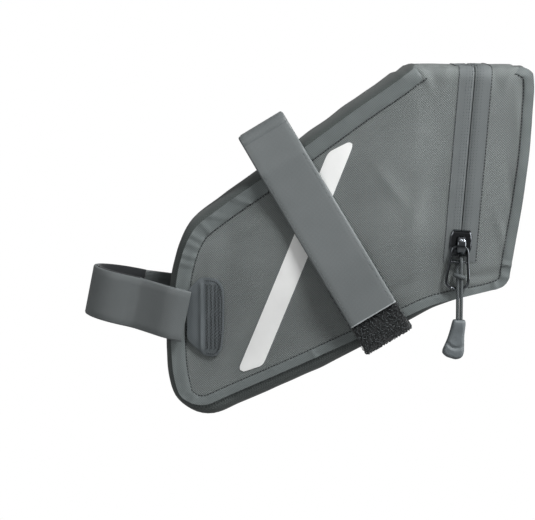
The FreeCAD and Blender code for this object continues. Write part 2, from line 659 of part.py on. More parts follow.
for side, sign in SIDES:
    RAIL_Y = f"({sign} * Sizes.rail_spacing / 2)"
    inner_face = "Sizes.rail_spacing / 2 - Sizes.rail_radius"
    inner_back = f"Sizes.rail_spacing / 2 - {LOOP_OUT}"
    tube = cut(
        f"{side}_loop_tube",
        rod(f"{side}_loop_out", "rail", LOOP_OUT, strap_across, RAIL_Y, "0"),
        rod(f"{side}_loop_in", "rail", "Sizes.rail_radius", strap_across, RAIL_Y, "0"),
        block(f"{side}_loop_open", "rail", (f"-{FAR}", FAR), WIDE, (f"-{FAR}", "0")),
    )
    leg_down = cut(
        f"{side}_loop_leg",
        block(f"{side}_loop_leg_block", "rail", strap_across,
              span(sign, inner_back, inner_face), ("-2 * Sizes.rail_lift", "0")),
        profile,
    )
    tab = common(
        f"{side}_loop_tab", strap_skin,
        block(f"{side}_tab_zone", "rail", strap_across,
              span(sign, f"{inner_back} - Sizes.tab_length", inner_back), ("-1.5 * Sizes.rail_lift", "0")),
    )
    node(f"{side}_rail_loop", fuse(f"{side}_loop", tube, leg_down, tab))

    AXIS_Y = f"({sign} * (Sizes.rail_spacing / 2 + {AXIS_OUT}))"
    rise = "Sizes.rail_rise"

    def bend_x(u):
        return f"{RAIL_X} + ({u}) * cos({rise}) + Sizes.rail_bend * sin({rise})"

    top_face = outline(
        f"{side}_leg_top",
        [
            (f"-{HALF_RAIL_STRAP}", f"{AXIS_Y} - Sizes.webbing / 2"),
            (HALF_RAIL_STRAP, f"{AXIS_Y} - Sizes.webbing / 2"),
            (HALF_RAIL_STRAP, f"{AXIS_Y} + Sizes.webbing / 2"),
            (f"-{HALF_RAIL_STRAP}", f"{AXIS_Y} + Sizes.webbing / 2"),
        ],
        at("rail", "0", "0", "-Sizes.hinge_drop"),
    )
    near, far = (PAD_OUT, LEG_OUT) if sign == "1" else (LEG_OUT, PAD_OUT)
    bend_face = outline(
        f"{side}_leg_bend",
        [
            (f"-{HALF_RAIL_STRAP}", f"{sign} * {half_width(bend_x('-' + HALF_RAIL_STRAP), near)}"),
            (HALF_RAIL_STRAP, f"{sign} * {half_width(bend_x(HALF_RAIL_STRAP), near)}"),
            (HALF_RAIL_STRAP, f"{sign} * {half_width(bend_x(HALF_RAIL_STRAP), far)}"),
            (f"-{HALF_RAIL_STRAP}", f"{sign} * {half_width(bend_x('-' + HALF_RAIL_STRAP), far)}"),
        ],
        at("rail", "0", "0", BEND_V),
    )
    slant = doc.addObject("Part::Loft", f"{side}_leg_slant")
    slant.Sections = [top_face, bend_face]
    slant.Solid = True
    slant.Ruled = True
    leg_sheet = side_sheet(f"{side}_leg_sheet", sign, PAD_OUT, LEG_OUT)
    leg_zone = block(f"{side}_leg_zone", "rail", strap_across, WIDE, (STRAP_END, BEND_V))
    knuckle = rod(f"{side}_leg_knuckle", "rail", "Sizes.webbing / 2", strap_across, AXIS_Y,
                  "-Sizes.hinge_drop")
    leg_flat = common(f"{side}_leg_flat", leg_sheet, leg_zone)
    node(f"{side}_rail_strap", fuse(f"{side}_leg", knuckle, slant, leg_flat))
    pad_zone = block(f"{side}_pad_zone", "rail", (f"-{HALF_RAIL_STRAP} + 1", f"{HALF_RAIL_STRAP} - 1"), WIDE,
                     (f"{STRAP_END} + 1", f"{STRAP_END} + Sizes.hook_length"))
    pad_sheet = side_sheet(f"{side}_pad_sheet", sign, PAD_IN, PAD_OUT)
    node(f"{side}_hook_pad", common(f"{side}_pad", pad_sheet, pad_zone))

# ---- Seatpost strap ----

POST_HALF = "Sizes.post_strap_width / 2"
post_along = (f"-{POST_HALF}", POST_HALF)
LINING_OUT = "(Sizes.post_radius + Sizes.webbing)"
BAND_OUT = "(Sizes.post_radius + 2 * Sizes.webbing)"
SIDE_IN = f"({FRONT_HALF} + Sizes.edge_tape)"
SIDE_OUT = f"({FRONT_HALF} + Sizes.edge_tape + Sizes.webbing)"
lining_tube = cut(
    "lining_tube",
    rod("lining_outer", "post", LINING_OUT, "0", "0", post_along),
    rod("lining_inner", "post", "Sizes.post_radius", "0", "0", post_along),
    block("lining_open", "post", ("Sizes.strap_leaves", FAR), WIDE, WIDE),
)
node("post_strap_lining", lining_tube)



def on_patch(across, up):
    """A corner of a patch, which stands upright although the strap leans with the post."""
    lean = "Sizes.post_lean"
    return (
        f"Sizes.patch_u + ({across}) * cos({lean}) - ({up}) * sin({lean})",
        f"Sizes.patch_v + ({across}) * sin({lean}) + ({up}) * cos({lean})",
    )


PATCH_SIDE = "Sizes.patch_width / 2"
PATCH_TOP = "Sizes.patch_height / 2"
patch_shape = [
    ("-Sizes.patch_end", f"-{POST_HALF}"),
    ("Sizes.strap_leaves", f"-{POST_HALF}"),
    on_patch(f"-{PATCH_SIDE}", f"-{PATCH_TOP}"),
    on_patch(f"{PATCH_SIDE} - Sizes.patch_corner", f"-{PATCH_TOP}"),
    on_patch(PATCH_SIDE, f"Sizes.patch_corner - {PATCH_TOP}"),
    on_patch(PATCH_SIDE, f"{PATCH_TOP} - Sizes.patch_corner"),
    on_patch(f"{PATCH_SIDE} - Sizes.patch_corner", PATCH_TOP),
    on_patch(f"-{PATCH_SIDE}", PATCH_TOP),
    ("Sizes.patch_start - Sizes.patch_corner", f"{POST_HALF} + Sizes.strap_climb"),
    ("Sizes.strap_leaves", POST_HALF),
    ("-Sizes.patch_end", POST_HALF),
]
patch_zone = plate("patch_zone", "post", patch_shape, "y", f"-{FAR}", FAR)


def strap_leg(name, sign, start_u, start_near, start_far, side_near, side_far, end_u):
    """A strap that leaves the post, runs to the side of the bag and then lies along it."""
    points = [
        (start_u, f"{sign} * {start_near}"),
        ("Sizes.strap_meets", f"{sign} * {side_near}"),
        (end_u, f"{sign} * {side_near}"),
        (end_u, f"{sign} * {side_far}"),
        ("Sizes.strap_meets", f"{sign} * {side_far}"),
        (start_u, f"{sign} * {start_far}"),
    ]
    reach = "Sizes.patch_height"
    return plate(name, "post", points, "v", f"-{reach}", reach)


left_anchor = strap_leg("left_neck", "-1", "Sizes.strap_leaves + Sizes.skim", "Sizes.post_radius", LINING_OUT,
                        SIDE_IN, SIDE_OUT, "Sizes.patch_end")
node("left_post_anchor", common("left_anchor", left_anchor, patch_zone))

right_leg = strap_leg("right_leg_plate", "1", "Sizes.strap_leaves", LINING_OUT, BAND_OUT, SIDE_IN, SIDE_OUT,
                      "Sizes.patch_end")
TAIL_GAP = "(Sizes.webbing / 2 + Sizes.play)"
band_ring = cut(
    "band_ring",
    rod("band_outer", "post", BAND_OUT, "0", "0", post_along),
    rod("band_inner", "post", LINING_OUT, "0", "0", post_along),
    block("band_left_open", "post", (f"-{TAIL_GAP}", FAR), (f"-{FAR}", "0"), WIDE),
    block("band_right_open", "post", ("0", FAR), ("0", FAR), WIDE),
)
band_bridge = plate(
    "band_bridge", "post",
    [("0", LINING_OUT), ("Sizes.strap_leaves", LINING_OUT),
     ("Sizes.strap_leaves", BAND_OUT), ("0", BAND_OUT)],
    "v", *post_along,
)
node("post_strap_band", fuse("band", band_ring, band_bridge, common("right_leg", right_leg, patch_zone)))

TAIL_NEAR = f"({LINING_OUT} + Sizes.play + Sizes.skim)"
TAIL_FAR = f"({BAND_OUT} + Sizes.play - Sizes.skim)"
TAIL_AXIS = f"(({TAIL_NEAR} + {TAIL_FAR}) / 2)"
tail_leg = strap_leg("tail_leg", "-1", "Sizes.strap_leaves", TAIL_NEAR, TAIL_FAR,
                     f"({SIDE_OUT} + Sizes.play)", f"({SIDE_OUT} + Sizes.play + Sizes.webbing)",
                     "Sizes.tail_end")
tail_start = plate(
    "tail_start", "post",
    [("0", f"-{TAIL_FAR}"), ("Sizes.strap_leaves", f"-{TAIL_FAR}"),
     ("Sizes.strap_leaves", f"-{TAIL_NEAR}"), ("0", f"-{TAIL_NEAR}")],
    "v", *post_along,
)
tail_shape = [
    ("0", f"-{POST_HALF}"),
    ("Sizes.strap_leaves", f"-{POST_HALF}"),
    ("Sizes.tail_end", f"Sizes.strap_climb - {POST_HALF}"),
    ("Sizes.tail_end - Sizes.strap_climb / 2", f"Sizes.strap_climb + {POST_HALF}"),
    ("Sizes.strap_leaves", POST_HALF),
    ("0", POST_HALF),
]
tail_zone = plate("tail_zone", "post", tail_shape, "y", f"-{FAR}", FAR)
tail_knuckle = rod("tail_knuckle", "post", f"({TAIL_FAR} - {TAIL_NEAR}) / 2", "0", f"-{TAIL_AXIS}",
                   post_along)
node("post_strap_tail", fuse("tail", tail_knuckle, tail_start, common("tail_flat", tail_leg, tail_zone)))

# ---- Check every object, then write one file for each node ----

doc.recompute()
for piece in doc.Objects:
    failed = [state for state in piece.State if state in ("Invalid", "Error")]
    if failed:
        raise RuntimeError(f"{piece.Label} is {failed}")
for name, piece in nodes.items():
    if piece.Shape.isNull() or not piece.Shape.isValid() or not piece.Shape.Solids:
        raise RuntimeError(f"{name} has no valid solid")

os.makedirs("parts", exist_ok=True)
for name, piece in nodes.items():
    piece.Shape.exportStep(os.path.join("parts", f"{name}.step"))
    print(name, len(piece.Shape.Solids), "solids", round(piece.Shape.Volume, 1), "mm3")
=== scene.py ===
import math

import bmesh
import bpy
import numpy as np
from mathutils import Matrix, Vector, noise
from mathutils.geometry import delaunay_2d_cdt


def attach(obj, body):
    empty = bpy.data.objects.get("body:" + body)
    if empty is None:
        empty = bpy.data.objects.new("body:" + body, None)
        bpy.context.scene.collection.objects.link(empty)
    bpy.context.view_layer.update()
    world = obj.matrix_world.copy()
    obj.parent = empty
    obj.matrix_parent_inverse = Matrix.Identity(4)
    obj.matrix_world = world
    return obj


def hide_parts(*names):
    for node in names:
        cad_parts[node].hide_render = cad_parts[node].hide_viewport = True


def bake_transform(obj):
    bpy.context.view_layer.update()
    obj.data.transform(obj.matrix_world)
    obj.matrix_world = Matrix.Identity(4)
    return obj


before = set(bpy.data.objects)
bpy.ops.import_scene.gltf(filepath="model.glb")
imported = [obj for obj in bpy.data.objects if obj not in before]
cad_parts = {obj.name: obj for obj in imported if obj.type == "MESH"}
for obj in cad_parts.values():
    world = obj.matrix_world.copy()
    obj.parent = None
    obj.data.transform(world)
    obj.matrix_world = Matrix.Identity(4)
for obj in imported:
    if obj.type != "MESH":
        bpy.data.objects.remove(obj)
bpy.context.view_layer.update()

# ---- Camera ----
# A long lens, square to the bag's left side and a little above its middle, so that
# near and far parts keep much the same scale.

lens = bpy.data.cameras.new("camera")
lens.lens = 100
lens.sensor_width = 36
camera = bpy.data.objects.new("camera", lens)
aim = Vector((0.0688, 0, 0.0215))
stand_off = 0.75
rise = math.radians(6)
camera.location = aim + Vector((0, -math.cos(rise), math.sin(rise))) * stand_off
camera.rotation_euler = (math.pi / 2 - rise, 0, 0)
bpy.context.scene.collection.objects.link(camera)
bpy.context.scene.camera = camera

# ---- Pull cord ----
# Thin braided polyester cord, doubled: one length goes up from the grip, round the ring's
# cross bar and back down into the grip, where both ends are moulded in.

ZIP_LEAN = math.radians(4.2)
ZIP_FOOT_X, ZIP_FOOT_Z = 160.4, 24.2  # the foot of the zip's slit


def leaning_frame(lean, foot_x, foot_z):
    """A frame of its own for a strap or the zip: it places points given in mm along, out and up."""
    def place(along, out, up):
        x = foot_x + along * math.cos(lean) + up * math.sin(lean)
        z = foot_z - along * math.sin(lean) + up * math.cos(lean)
        return np.array((x, out, z))
    return place


zip_point = leaning_frame(ZIP_LEAN, ZIP_FOOT_X, ZIP_FOOT_Z)
bar_height = 0.5
ring_out = -40.6
cord_route = [
    (2.85, -1.9, -27.2),
    (1.85, -1.9, -13.0),
    (0.85, -1.7, -4.5),
    (0.75, -1.7, 1.7),
    (0.25, 1.6, 1.7),
    (-0.25, 1.6, -1.8),
    (-0.85, -1.75, -4.8),
    (0.15, -1.9, -13.5),
    (1.15, -1.9, -27.2),
]
cord_line = bpy.data.curves.new("pull_cord_braid", "CURVE")
cord_line.dimensions = "3D"
strand = cord_line.splines.new("NURBS")
strand.points.add(len(cord_route) - 1)
for point, (along, ahead, up) in zip(strand.points, cord_route):
    x, y, z = zip_point(along, ring_out + ahead, bar_height + up)
    point.co = (x / 1000, y / 1000, z / 1000, 1)
strand.order_u = 3
strand.use_endpoint_u = True
strand.resolution_u = 16
cord_line.bevel_depth = 0.00082
cord_line.bevel_resolution = 4
cord_line.use_fill_caps = True
pull_cord = bpy.data.objects.new("pull_cord_braid", cord_line)
bpy.context.scene.collection.objects.link(pull_cord)


def new_finish(name):
    """An empty material with its shader, ready for the nodes of one finish."""
    material = bpy.data.materials.new(name)
    material.use_nodes = True
    tree = material.node_tree
    shader = tree.nodes["Principled BSDF"]
    return material, tree, shader


def node(tree, kind, inputs=None, **settings):
    """One node, its settings, and its inputs given as numbers, colours or other nodes' outputs."""
    made = tree.nodes.new(kind)
    for key, value in settings.items():
        setattr(made, key, value)
    for key, value in (inputs or {}).items():
        if isinstance(value, bpy.types.NodeSocket):
            tree.links.new(value, made.inputs[key])
        else:
            made.inputs[key].default_value = value
    return made


def blend_colours(tree, share, first, second):
    """The colour between two, by a share."""
    mix = node(tree, "ShaderNodeMix", data_type="RGBA", blend_type="MIX")
    for socket, value in ((mix.inputs[0], share), (mix.inputs[6], first), (mix.inputs[7], second)):
        if isinstance(value, bpy.types.NodeSocket):
            tree.links.new(value, socket)
        else:
            socket.default_value = value
    return mix.outputs[2]


def between(tree, value, low, high):
    """A 0 to 1 value, spread from low to high."""
    spread = node(tree, "ShaderNodeMapRange", {"Value": value, "To Min": low, "To Max": high})
    return spread.outputs["Result"]


def grey(red, green, blue):
    """A colour as screens give it, 0 to 255, made linear."""
    def linear(c):
        c = c / 255
        return c / 12.92 if c <= 0.04045 else ((c + 0.055) / 1.055) ** 2.4
    return (linear(red), linear(green), linear(blue), 1)


def bump(tree, shader, *layers):
    """Height layers, each with its depth in metres, stacked into the shader's normal."""
    last = None
    for height, depth in layers:
        inputs = {"Height": height, "Distance": depth, "Strength": 1.0}
        if last is not None:
            inputs["Normal"] = last
        last = node(tree, "ShaderNodeBump", inputs).outputs["Normal"]
    tree.links.new(last, shader.inputs["Normal"])


cord_finish, tree, shader = new_finish("braided_cord")
place = node(tree, "ShaderNodeTexCoord").outputs["Object"]
turned = node(tree, "ShaderNodeMapping", {"Vector": place, "Rotation": (0, 0.7, 0)}).outputs["Vector"]
braid_one = node(tree, "ShaderNodeTexWave", {"Vector": turned, "Scale": 420.0, "Distortion": 0.6})
crossed = node(tree, "ShaderNodeMapping", {"Vector": place, "Rotation": (0, -0.7, 0)}).outputs["Vector"]
braid_two = node(tree, "ShaderNodeTexWave", {"Vector": crossed, "Scale": 420.0, "Distortion": 0.6})
braid = node(tree, "ShaderNodeMath", {0: braid_one.outputs["Fac"], 1: braid_two.outputs["Fac"]},
             operation="MULTIPLY").outputs[0]
tree.links.new(blend_colours(tree, braid, grey(58, 63, 65), grey(104, 111, 112)), shader.inputs["Base Color"])
tree.links.new(between(tree, braid, 0.75, 0.5), shader.inputs["Roughness"])
bump(tree, shader, (braid, 0.00012))
cord_line.materials.append(cord_finish)

# ---- Studio ----
# A white sweep well below the hanging bag, a soft light high on the right, a wide weaker one on
# the left to open the shadows, a faint one overhead and a low one at the bag's rear.

scene = bpy.context.scene
scene.view_settings.view_transform = "Standard"
world = bpy.data.worlds.new("studio")
scene.world = world
world.use_nodes = True
sky = world.node_tree
ambient = sky.nodes["Background"]
ambient.inputs["Color"].default_value = (1, 1, 1, 1)
ambient.inputs["Strength"].default_value = 0.24
backdrop = node(sky, "ShaderNodeBackground", {"Color": (1, 1, 1, 1), "Strength": 1.0})
seen = node(sky, "ShaderNodeLightPath").outputs["Is Camera Ray"]
mixed = node(sky, "ShaderNodeMixShader", {0: seen, 1: ambient.outputs[0], 2: backdrop.outputs[0]})
sky.links.new(mixed.outputs[0], sky.nodes["World Output"].inputs["Surface"])

lamps = [
    ("key", (0.48, -0.44, 0.66), 0.26, 7.7),
    ("top", (0.2, 0.2, 0.95), 0.7, 0.7),
    ("fill", (-0.75, -0.8, 0.45), 0.6, 2.3),
    ("rim", (0.8, -0.2, 0.15), 0.5, 3.6),
]
for name, spot, size, power in lamps:
    lamp = bpy.data.lights.new(name, "AREA")
    lamp.shape = "DISK"
    lamp.size = size
    lamp.energy = power
    light = bpy.data.objects.new(name, lamp)
    light.location = spot
    light.rotation_euler = (aim - Vector(spot)).to_track_quat("-Z", "Y").to_euler()
    scene.collection.objects.link(light)

floor_mesh = bpy.data.meshes.new("studio_floor")
reach, floor_height = 30.0, -0.24
floor_mesh.from_pydata([(-reach, -reach, floor_height), (reach, -reach, floor_height),
                        (reach, reach, floor_height), (-reach, reach, floor_height)], [], [(0, 1, 2, 3)])
studio_floor = bpy.data.objects.new("studio_floor", floor_mesh)
scene.collection.objects.link(studio_floor)
floor_finish, tree, shader = new_finish("pale_floor")
shader.inputs["Base Color"].default_value = (0.35, 0.35, 0.35, 1)
shader.inputs["Roughness"].default_value = 0.9
shader.inputs["Specular IOR Level"].default_value = 0.0
glow = node(tree, "ShaderNodeEmission", {"Color": (1, 1, 1, 1), "Strength": 1.0})
shown = node(tree, "ShaderNodeLightPath").outputs["Is Camera Ray"]
both = node(tree, "ShaderNodeMixShader", {0: shown, 1: shader.outputs[0], 2: glow.outputs[0]})
tree.links.new(both.outputs[0], tree.nodes["Material Output"].inputs["Surface"])
floor_mesh.materials.append(floor_finish)

# ---- Side and top cloth ----
# Coated woven nylon over a thin foam backing. Each side is cut in one with its half of the top,
# and the zip's slit divides it: what lies behind the slit opens with the cover.

TOP = 117.5
FOLD = 6.0  # radius of the fold between a side and the top
FOLD_START = TOP - FOLD
FOLD_END = FOLD_START + FOLD * math.pi / 2
NOSE_HALF, REAR_HALF = 27, 38  # half widths
FLARE_START, FLARE_RUN = 50, 89.4
CROWN_LINE = FOLD_END + REAR_HALF - FOLD  # the middle of the top, on the flat cloth
CLOTH = 1.4
CROWN, TOP_CROWN = 3.4, 2.2
HEEL_LINE = 22.4  # the crease that the cover turns about
TOP_FRONT, TOP_REAR = 139.2, 188.8
CLOTH_STEP = 1.6

# The edge of the side, from the top of the slope round the nose, belly and heel to the rear top.
side_corners = [
    (139.4, 117.4), (129.2, 109.7), (110.9, 97.1), (87.9, 80.0), (64.5, 62.7), (50.5, 53.2), (33.6, 40.6),
    (28.4, 31.0), (24.8, 18.0), (21.5, -14.0), (22.3, -31.0), (25.6, -44.0), (37.0, -48.3), (84.3, -26.5),
    (135.1, -2.1), (146.6, 3.6), (184.0, 12.8), (185.8, 24.2), (190.6, 53.9), (193.4, 77.8), (195.0, 108.0),
    (194.2, 115.2), (188.6, 118.2),
]


def soften(points, cut):
    """A line with its corners rounded, each over the length cut."""
    line = [np.array(points[0], float)]
    for before, corner, after in zip(points, points[1:], points[2:]):
        before, corner, after = (np.array(p, float) for p in (before, corner, after))
        back, on = before - corner, after - corner
        reach = min(cut, 0.46 * np.linalg.norm(back), 0.46 * np.linalg.norm(on))
        start = corner + back / np.linalg.norm(back) * reach
        end = corner + on / np.linalg.norm(on) * reach
        for t in np.linspace(0, 1, 9):
            line.append((1 - t) ** 2 * start + 2 * t * (1 - t) * corner + t * t * end)
    line.append(np.array(points[-1], float))
    return np.array(line)


def distance_along(line):
    """How far along a line each of its points is."""
    return np.concatenate([[0], np.cumsum(np.linalg.norm(np.diff(line, axis=0), axis=1))])


def heading(line):
    """The direction of a line at each of its points."""
    way = np.gradient(line, axis=0)
    return way / np.linalg.norm(way, axis=1)[:, None]


def even(line, step):
    """The same line with its points evenly spaced."""
    line = np.asarray(line, float)
    run = distance_along(line)
    count = max(2, int(round(run[-1] / step)) + 1)
    where = np.linspace(0, run[-1], count)
    return np.stack([np.interp(where, run, line[:, k]) for k in range(line.shape[1])], axis=1)


def nearest(points, line):
    """How far each point is from a line of straight runs."""
    points = np.asarray(points, float)
    best = np.full(len(points), 1e9)
    for a, b in zip(line[:-1], line[1:]):
        run = b - a
        t = np.clip(((points - a) @ run) / max(run @ run, 1e-12), 0, 1)
        best = np.minimum(best, np.linalg.norm(points - (a + t[:, None] * run), axis=1))
    return best


def from_rim(points, loop):
    """How far each point is from a closed line."""
    return nearest(points, np.vstack([loop, loop[:1]]))


def drawn_in(line, amount, least, step):
    """The line moved towards the inside of the bag, kept where it stays at least so far from itself."""
    way = heading(line)
    moved = line + np.stack([-way[:, 1], way[:, 0]], axis=1) * amount
    return even(moved[nearest(moved, line) > least], step)


edge_line = even(soften(side_corners, 6.0), 1.5)


def smooth(value, low, high):
    """0 below low, 1 above high, and an easy curve between."""
    t = np.clip((value - low) / (high - low), 0, 1)
    return t * t * (3 - 2 * t)


def half_width(x):
    """Half the bag's width: narrow at the nose, flared towards the zip."""
    return NOSE_HALF + (REAR_HALF - NOSE_HALF) * np.clip((x - FLARE_START) / FLARE_RUN, 0, 1)


def ripple(x, h, scale, seed):
    """Soft random swells of the cloth, about -1 to 1."""
    return np.array([noise.noise(Vector((a / scale, b / scale, seed))) for a, b in zip(x, h)])


def slit_x(h, along=0.0):
    """Where a line beside the slit runs on the flat cloth, along mm behind the slit."""
    h = np.asarray(h, float)
    turn = np.clip((h - FOLD_START) / FOLD, 0, math.pi / 2)
    z = np.minimum(h, FOLD_START) + FOLD * np.sin(turn)
    return ZIP_FOOT_X + along / math.cos(ZIP_LEAN) + (z - ZIP_FOOT_Z) * math.tan(ZIP_LEAN)


def swell(x, h):
    """How far the padded side stands out: a soft crown, with creases where the cloth is pulled."""
    flat = np.stack([x, h], axis=1)
    inside = nearest(flat, edge_line)
    ahead = smooth(np.where(h < FOLD_START, 152 - x, 0), 0, 34)
    beside_zip = smooth(np.abs(x - slit_x(h)), 4, 20)
    crown = CROWN * smooth(inside, 7.2, 38) * ahead * (0.25 + 0.75 * beside_zip)
    soft = 0.34 * ripple(x, h, 31, 3.1) + 0.16 * ripple(x, h, 13, 7.7)
    soft *= smooth(inside, 7, 13)
    return crown + soft * np.where(h > FOLD_END, 2.0, 1.0)


# Creases: middle, direction, length, width and height, in mm on the flat cloth.
creases = [
    ((141, 116), (0.55, -1.0), 12, 1.3, 0.8), ((147, 115), (0.2, -1.0), 9, 1.2, -0.5),
    ((154, 117), (-0.35, -1.0), 8, 1.4, 0.45), ((176, 116), (0.15, -1.0), 10, 1.5, -0.5),
    ((183, 113), (-0.4, -1.0), 9, 1.2, 0.55), ((187, 95), (0.05, -1.0), 18, 1.4, 0.35),
    ((184, 64), (0.1, -1.0), 16, 1.5, -0.4), ((180, 40), (0.25, -1.0), 14, 1.3, 0.4),
    ((172, 18), (1.0, 0.25), 13, 1.2, -0.55), ((163, 15), (1.0, 0.1), 12, 1.1, 0.45),
    ((44, 36), (0.8, 0.6), 10, 1.4, -0.4), ((40, 8), (0.15, 1.0), 22, 2.2, 0.35),
    ((60, 40), (0.85, 0.5), 14, 2.0, 0.35), ((50, -20), (0.5, 0.85), 24, 2.4, 0.4),
    ((120, 84), (0.8, 0.6), 16, 1.8, -0.35), ((140, 50), (0.3, 1.0), 30, 3.0, 0.3),
    ((132, 12), (0.9, 0.42), 18, 2.0, -0.4), ((128, 60), (0.6, -0.8), 22, 2.6, 0.3),
]
CREASED = 1.7


def crease(x, h):
    """The height of the creases at each place."""
    total = np.zeros(len(x))
    for (cx, ch), way, length, width, height in creases:
        way = np.array(way) / np.linalg.norm(way)
        along = (x - cx) * way[0] + (h - ch) * way[1]
        across = -(x - cx) * way[1] + (h - ch) * way[0]
        total += height * np.exp(-((along / length) ** 2) * 2 - (across / width) ** 2)
    return CREASED * total


def drape(flat, out, side, creased=True):
    """Places points of the flat cloth on the bag, each lifted out from it. side is -1 for the left."""
    x, h = flat[:, 0], flat[:, 1]
    turn = np.clip((h - FOLD_START) / FOLD, 0, math.pi / 2)
    inset = FOLD * (1 - np.cos(turn)) + np.clip(h - FOLD_END, 0, None)
    z = np.minimum(h, FOLD_START) + FOLD * np.sin(turn)
    lift = swell(x, h) + out
    if creased:
        lift = lift + crease(x, h)
    top_crown = TOP_CROWN * smooth(inset, 4, 38) * smooth(h, FOLD_START, FOLD_END)
    y = half_width(x) - inset + lift * np.cos(turn)
    return np.stack([x, side * y, z + lift * np.sin(turn) + top_crown], axis=1)


def inside_loop(points, loop):
    """Which points lie inside a closed line."""
    x, y = points[:, 0], points[:, 1]
    hit = np.zeros(len(points), bool)
    for (ax, ay), (bx, by) in zip(loop, np.roll(loop, -1, axis=0)):
        crosses = (ay > y) != (by > y)
        at = ax + (y - ay) * (bx - ax) / (by - ay if by != ay else 1e-9)
        hit ^= crosses & (x < at)
    return hit


def used_only(points, faces):
    """The faces, with only the points that they use."""
    used = np.unique(faces)
    renumber = np.full(len(points), -1)
    renumber[used] = np.arange(len(used))
    return points[used], renumber[faces]


def cut_cloth(loop, step):
    """A flat pattern cut to a closed line: its points and its triangles, about step apart."""
    loop = np.asarray(loop, float)
    edges = [(i, (i + 1) % len(loop)) for i in range(len(loop))]
    low, high = loop.min(0), loop.max(0)
    rows = np.arange(low[1], high[1], step * 0.87)
    grid = np.array([(x + (k % 2) * step / 2, y) for k, y in enumerate(rows)
                     for x in np.arange(low[0], high[0], step)])
    grid = grid[inside_loop(grid, loop)]
    grid = grid[from_rim(grid, loop) > step * 0.55]
    points, _, faces, *_ = delaunay_2d_cdt([Vector(p) for p in np.vstack([loop, grid])], edges, [], 0, 1e-5)
    points = np.array([tuple(p) for p in points])
    faces = np.array([f for f in faces if len(f) == 3])
    faces = faces[inside_loop(points[faces].mean(axis=1), loop)]
    a, b, c = (points[faces[:, k]] for k in range(3))
    area = (b[:, 0] - a[:, 0]) * (c[:, 1] - a[:, 1]) - (b[:, 1] - a[:, 1]) * (c[:, 0] - a[:, 0])
    faces[area < 0] = faces[area < 0][:, ::-1]
    return used_only(points, faces[np.abs(area) > 1e-7])


def add_piece(name, points, faces, finish, chart):
    """A mesh piece from points in mm, its faces, its finish and its flat chart in mm."""
    mesh = bpy.data.meshes.new(name)
    mesh.from_pydata([tuple(float(c) / 1000 for c in p) for p in points], [],
                     [tuple(int(i) for i in f) for f in faces])
    layer = mesh.uv_layers.new(name="UVMap")
    corner = np.zeros(len(mesh.loops), np.int32)
    mesh.loops.foreach_get("vertex_index", corner)
    layer.data.foreach_set("uv", (np.asarray(chart, float)[corner] / 100).astype(np.float32).ravel())
    for one in finish if isinstance(finish, list) else [finish]:
        mesh.materials.append(one)
    mesh.shade_smooth()
    piece = bpy.data.objects.new(name, mesh)
    scene.collection.objects.link(piece)
    return piece


def thick_sheet(name, flat, faces, outer, inner, finish, right=False):
    """A sheet with both its faces and its rim. outer and inner are its two surfaces."""
    count = len(flat)
    points = np.vstack([outer, inner])
    front = faces[:, ::-1] if right else faces
    edges = {}
    for face in front:
        for a, b in ((face[0], face[1]), (face[1], face[2]), (face[2], face[0])):
            if (b, a) in edges:
                del edges[(b, a)]
            else:
                edges[(a, b)] = True
    rim = [(b, a, a + count, b + count) for a, b in edges]
    all_faces = list(front) + [f[::-1] + count for f in front] + rim
    piece = add_piece(name, points, all_faces, finish, np.vstack([flat, flat]))
    if isinstance(finish, list):
        marks = np.zeros(len(all_faces), np.int32)
        marks[len(front):2 * len(front)] = 1
        piece.data.polygons.foreach_set("material_index", marks)
    sharp_rim(piece)
    return piece


def sharp_rim(piece, angle=50):
    """Edges steeper than the angle stay crisp."""
    form = bmesh.new()
    form.from_mesh(piece.data)
    for edge in form.edges:
        if len(edge.link_faces) == 2 and edge.calc_face_angle(0) > math.radians(angle):
            edge.smooth = False
    form.to_mesh(piece.data)
    form.free()


def new_group(name, kind, inputs, outputs):
    """An empty node group with its named inputs and outputs, and its input node."""
    group = bpy.data.node_groups.new(name, kind)
    for way, sockets in (("INPUT", inputs), ("OUTPUT", outputs)):
        for title, socket_kind in sockets.items():
            group.interface.new_socket(title, in_out=way, socket_type="NodeSocket" + socket_kind)
    return group, node(group, "NodeGroupInput")


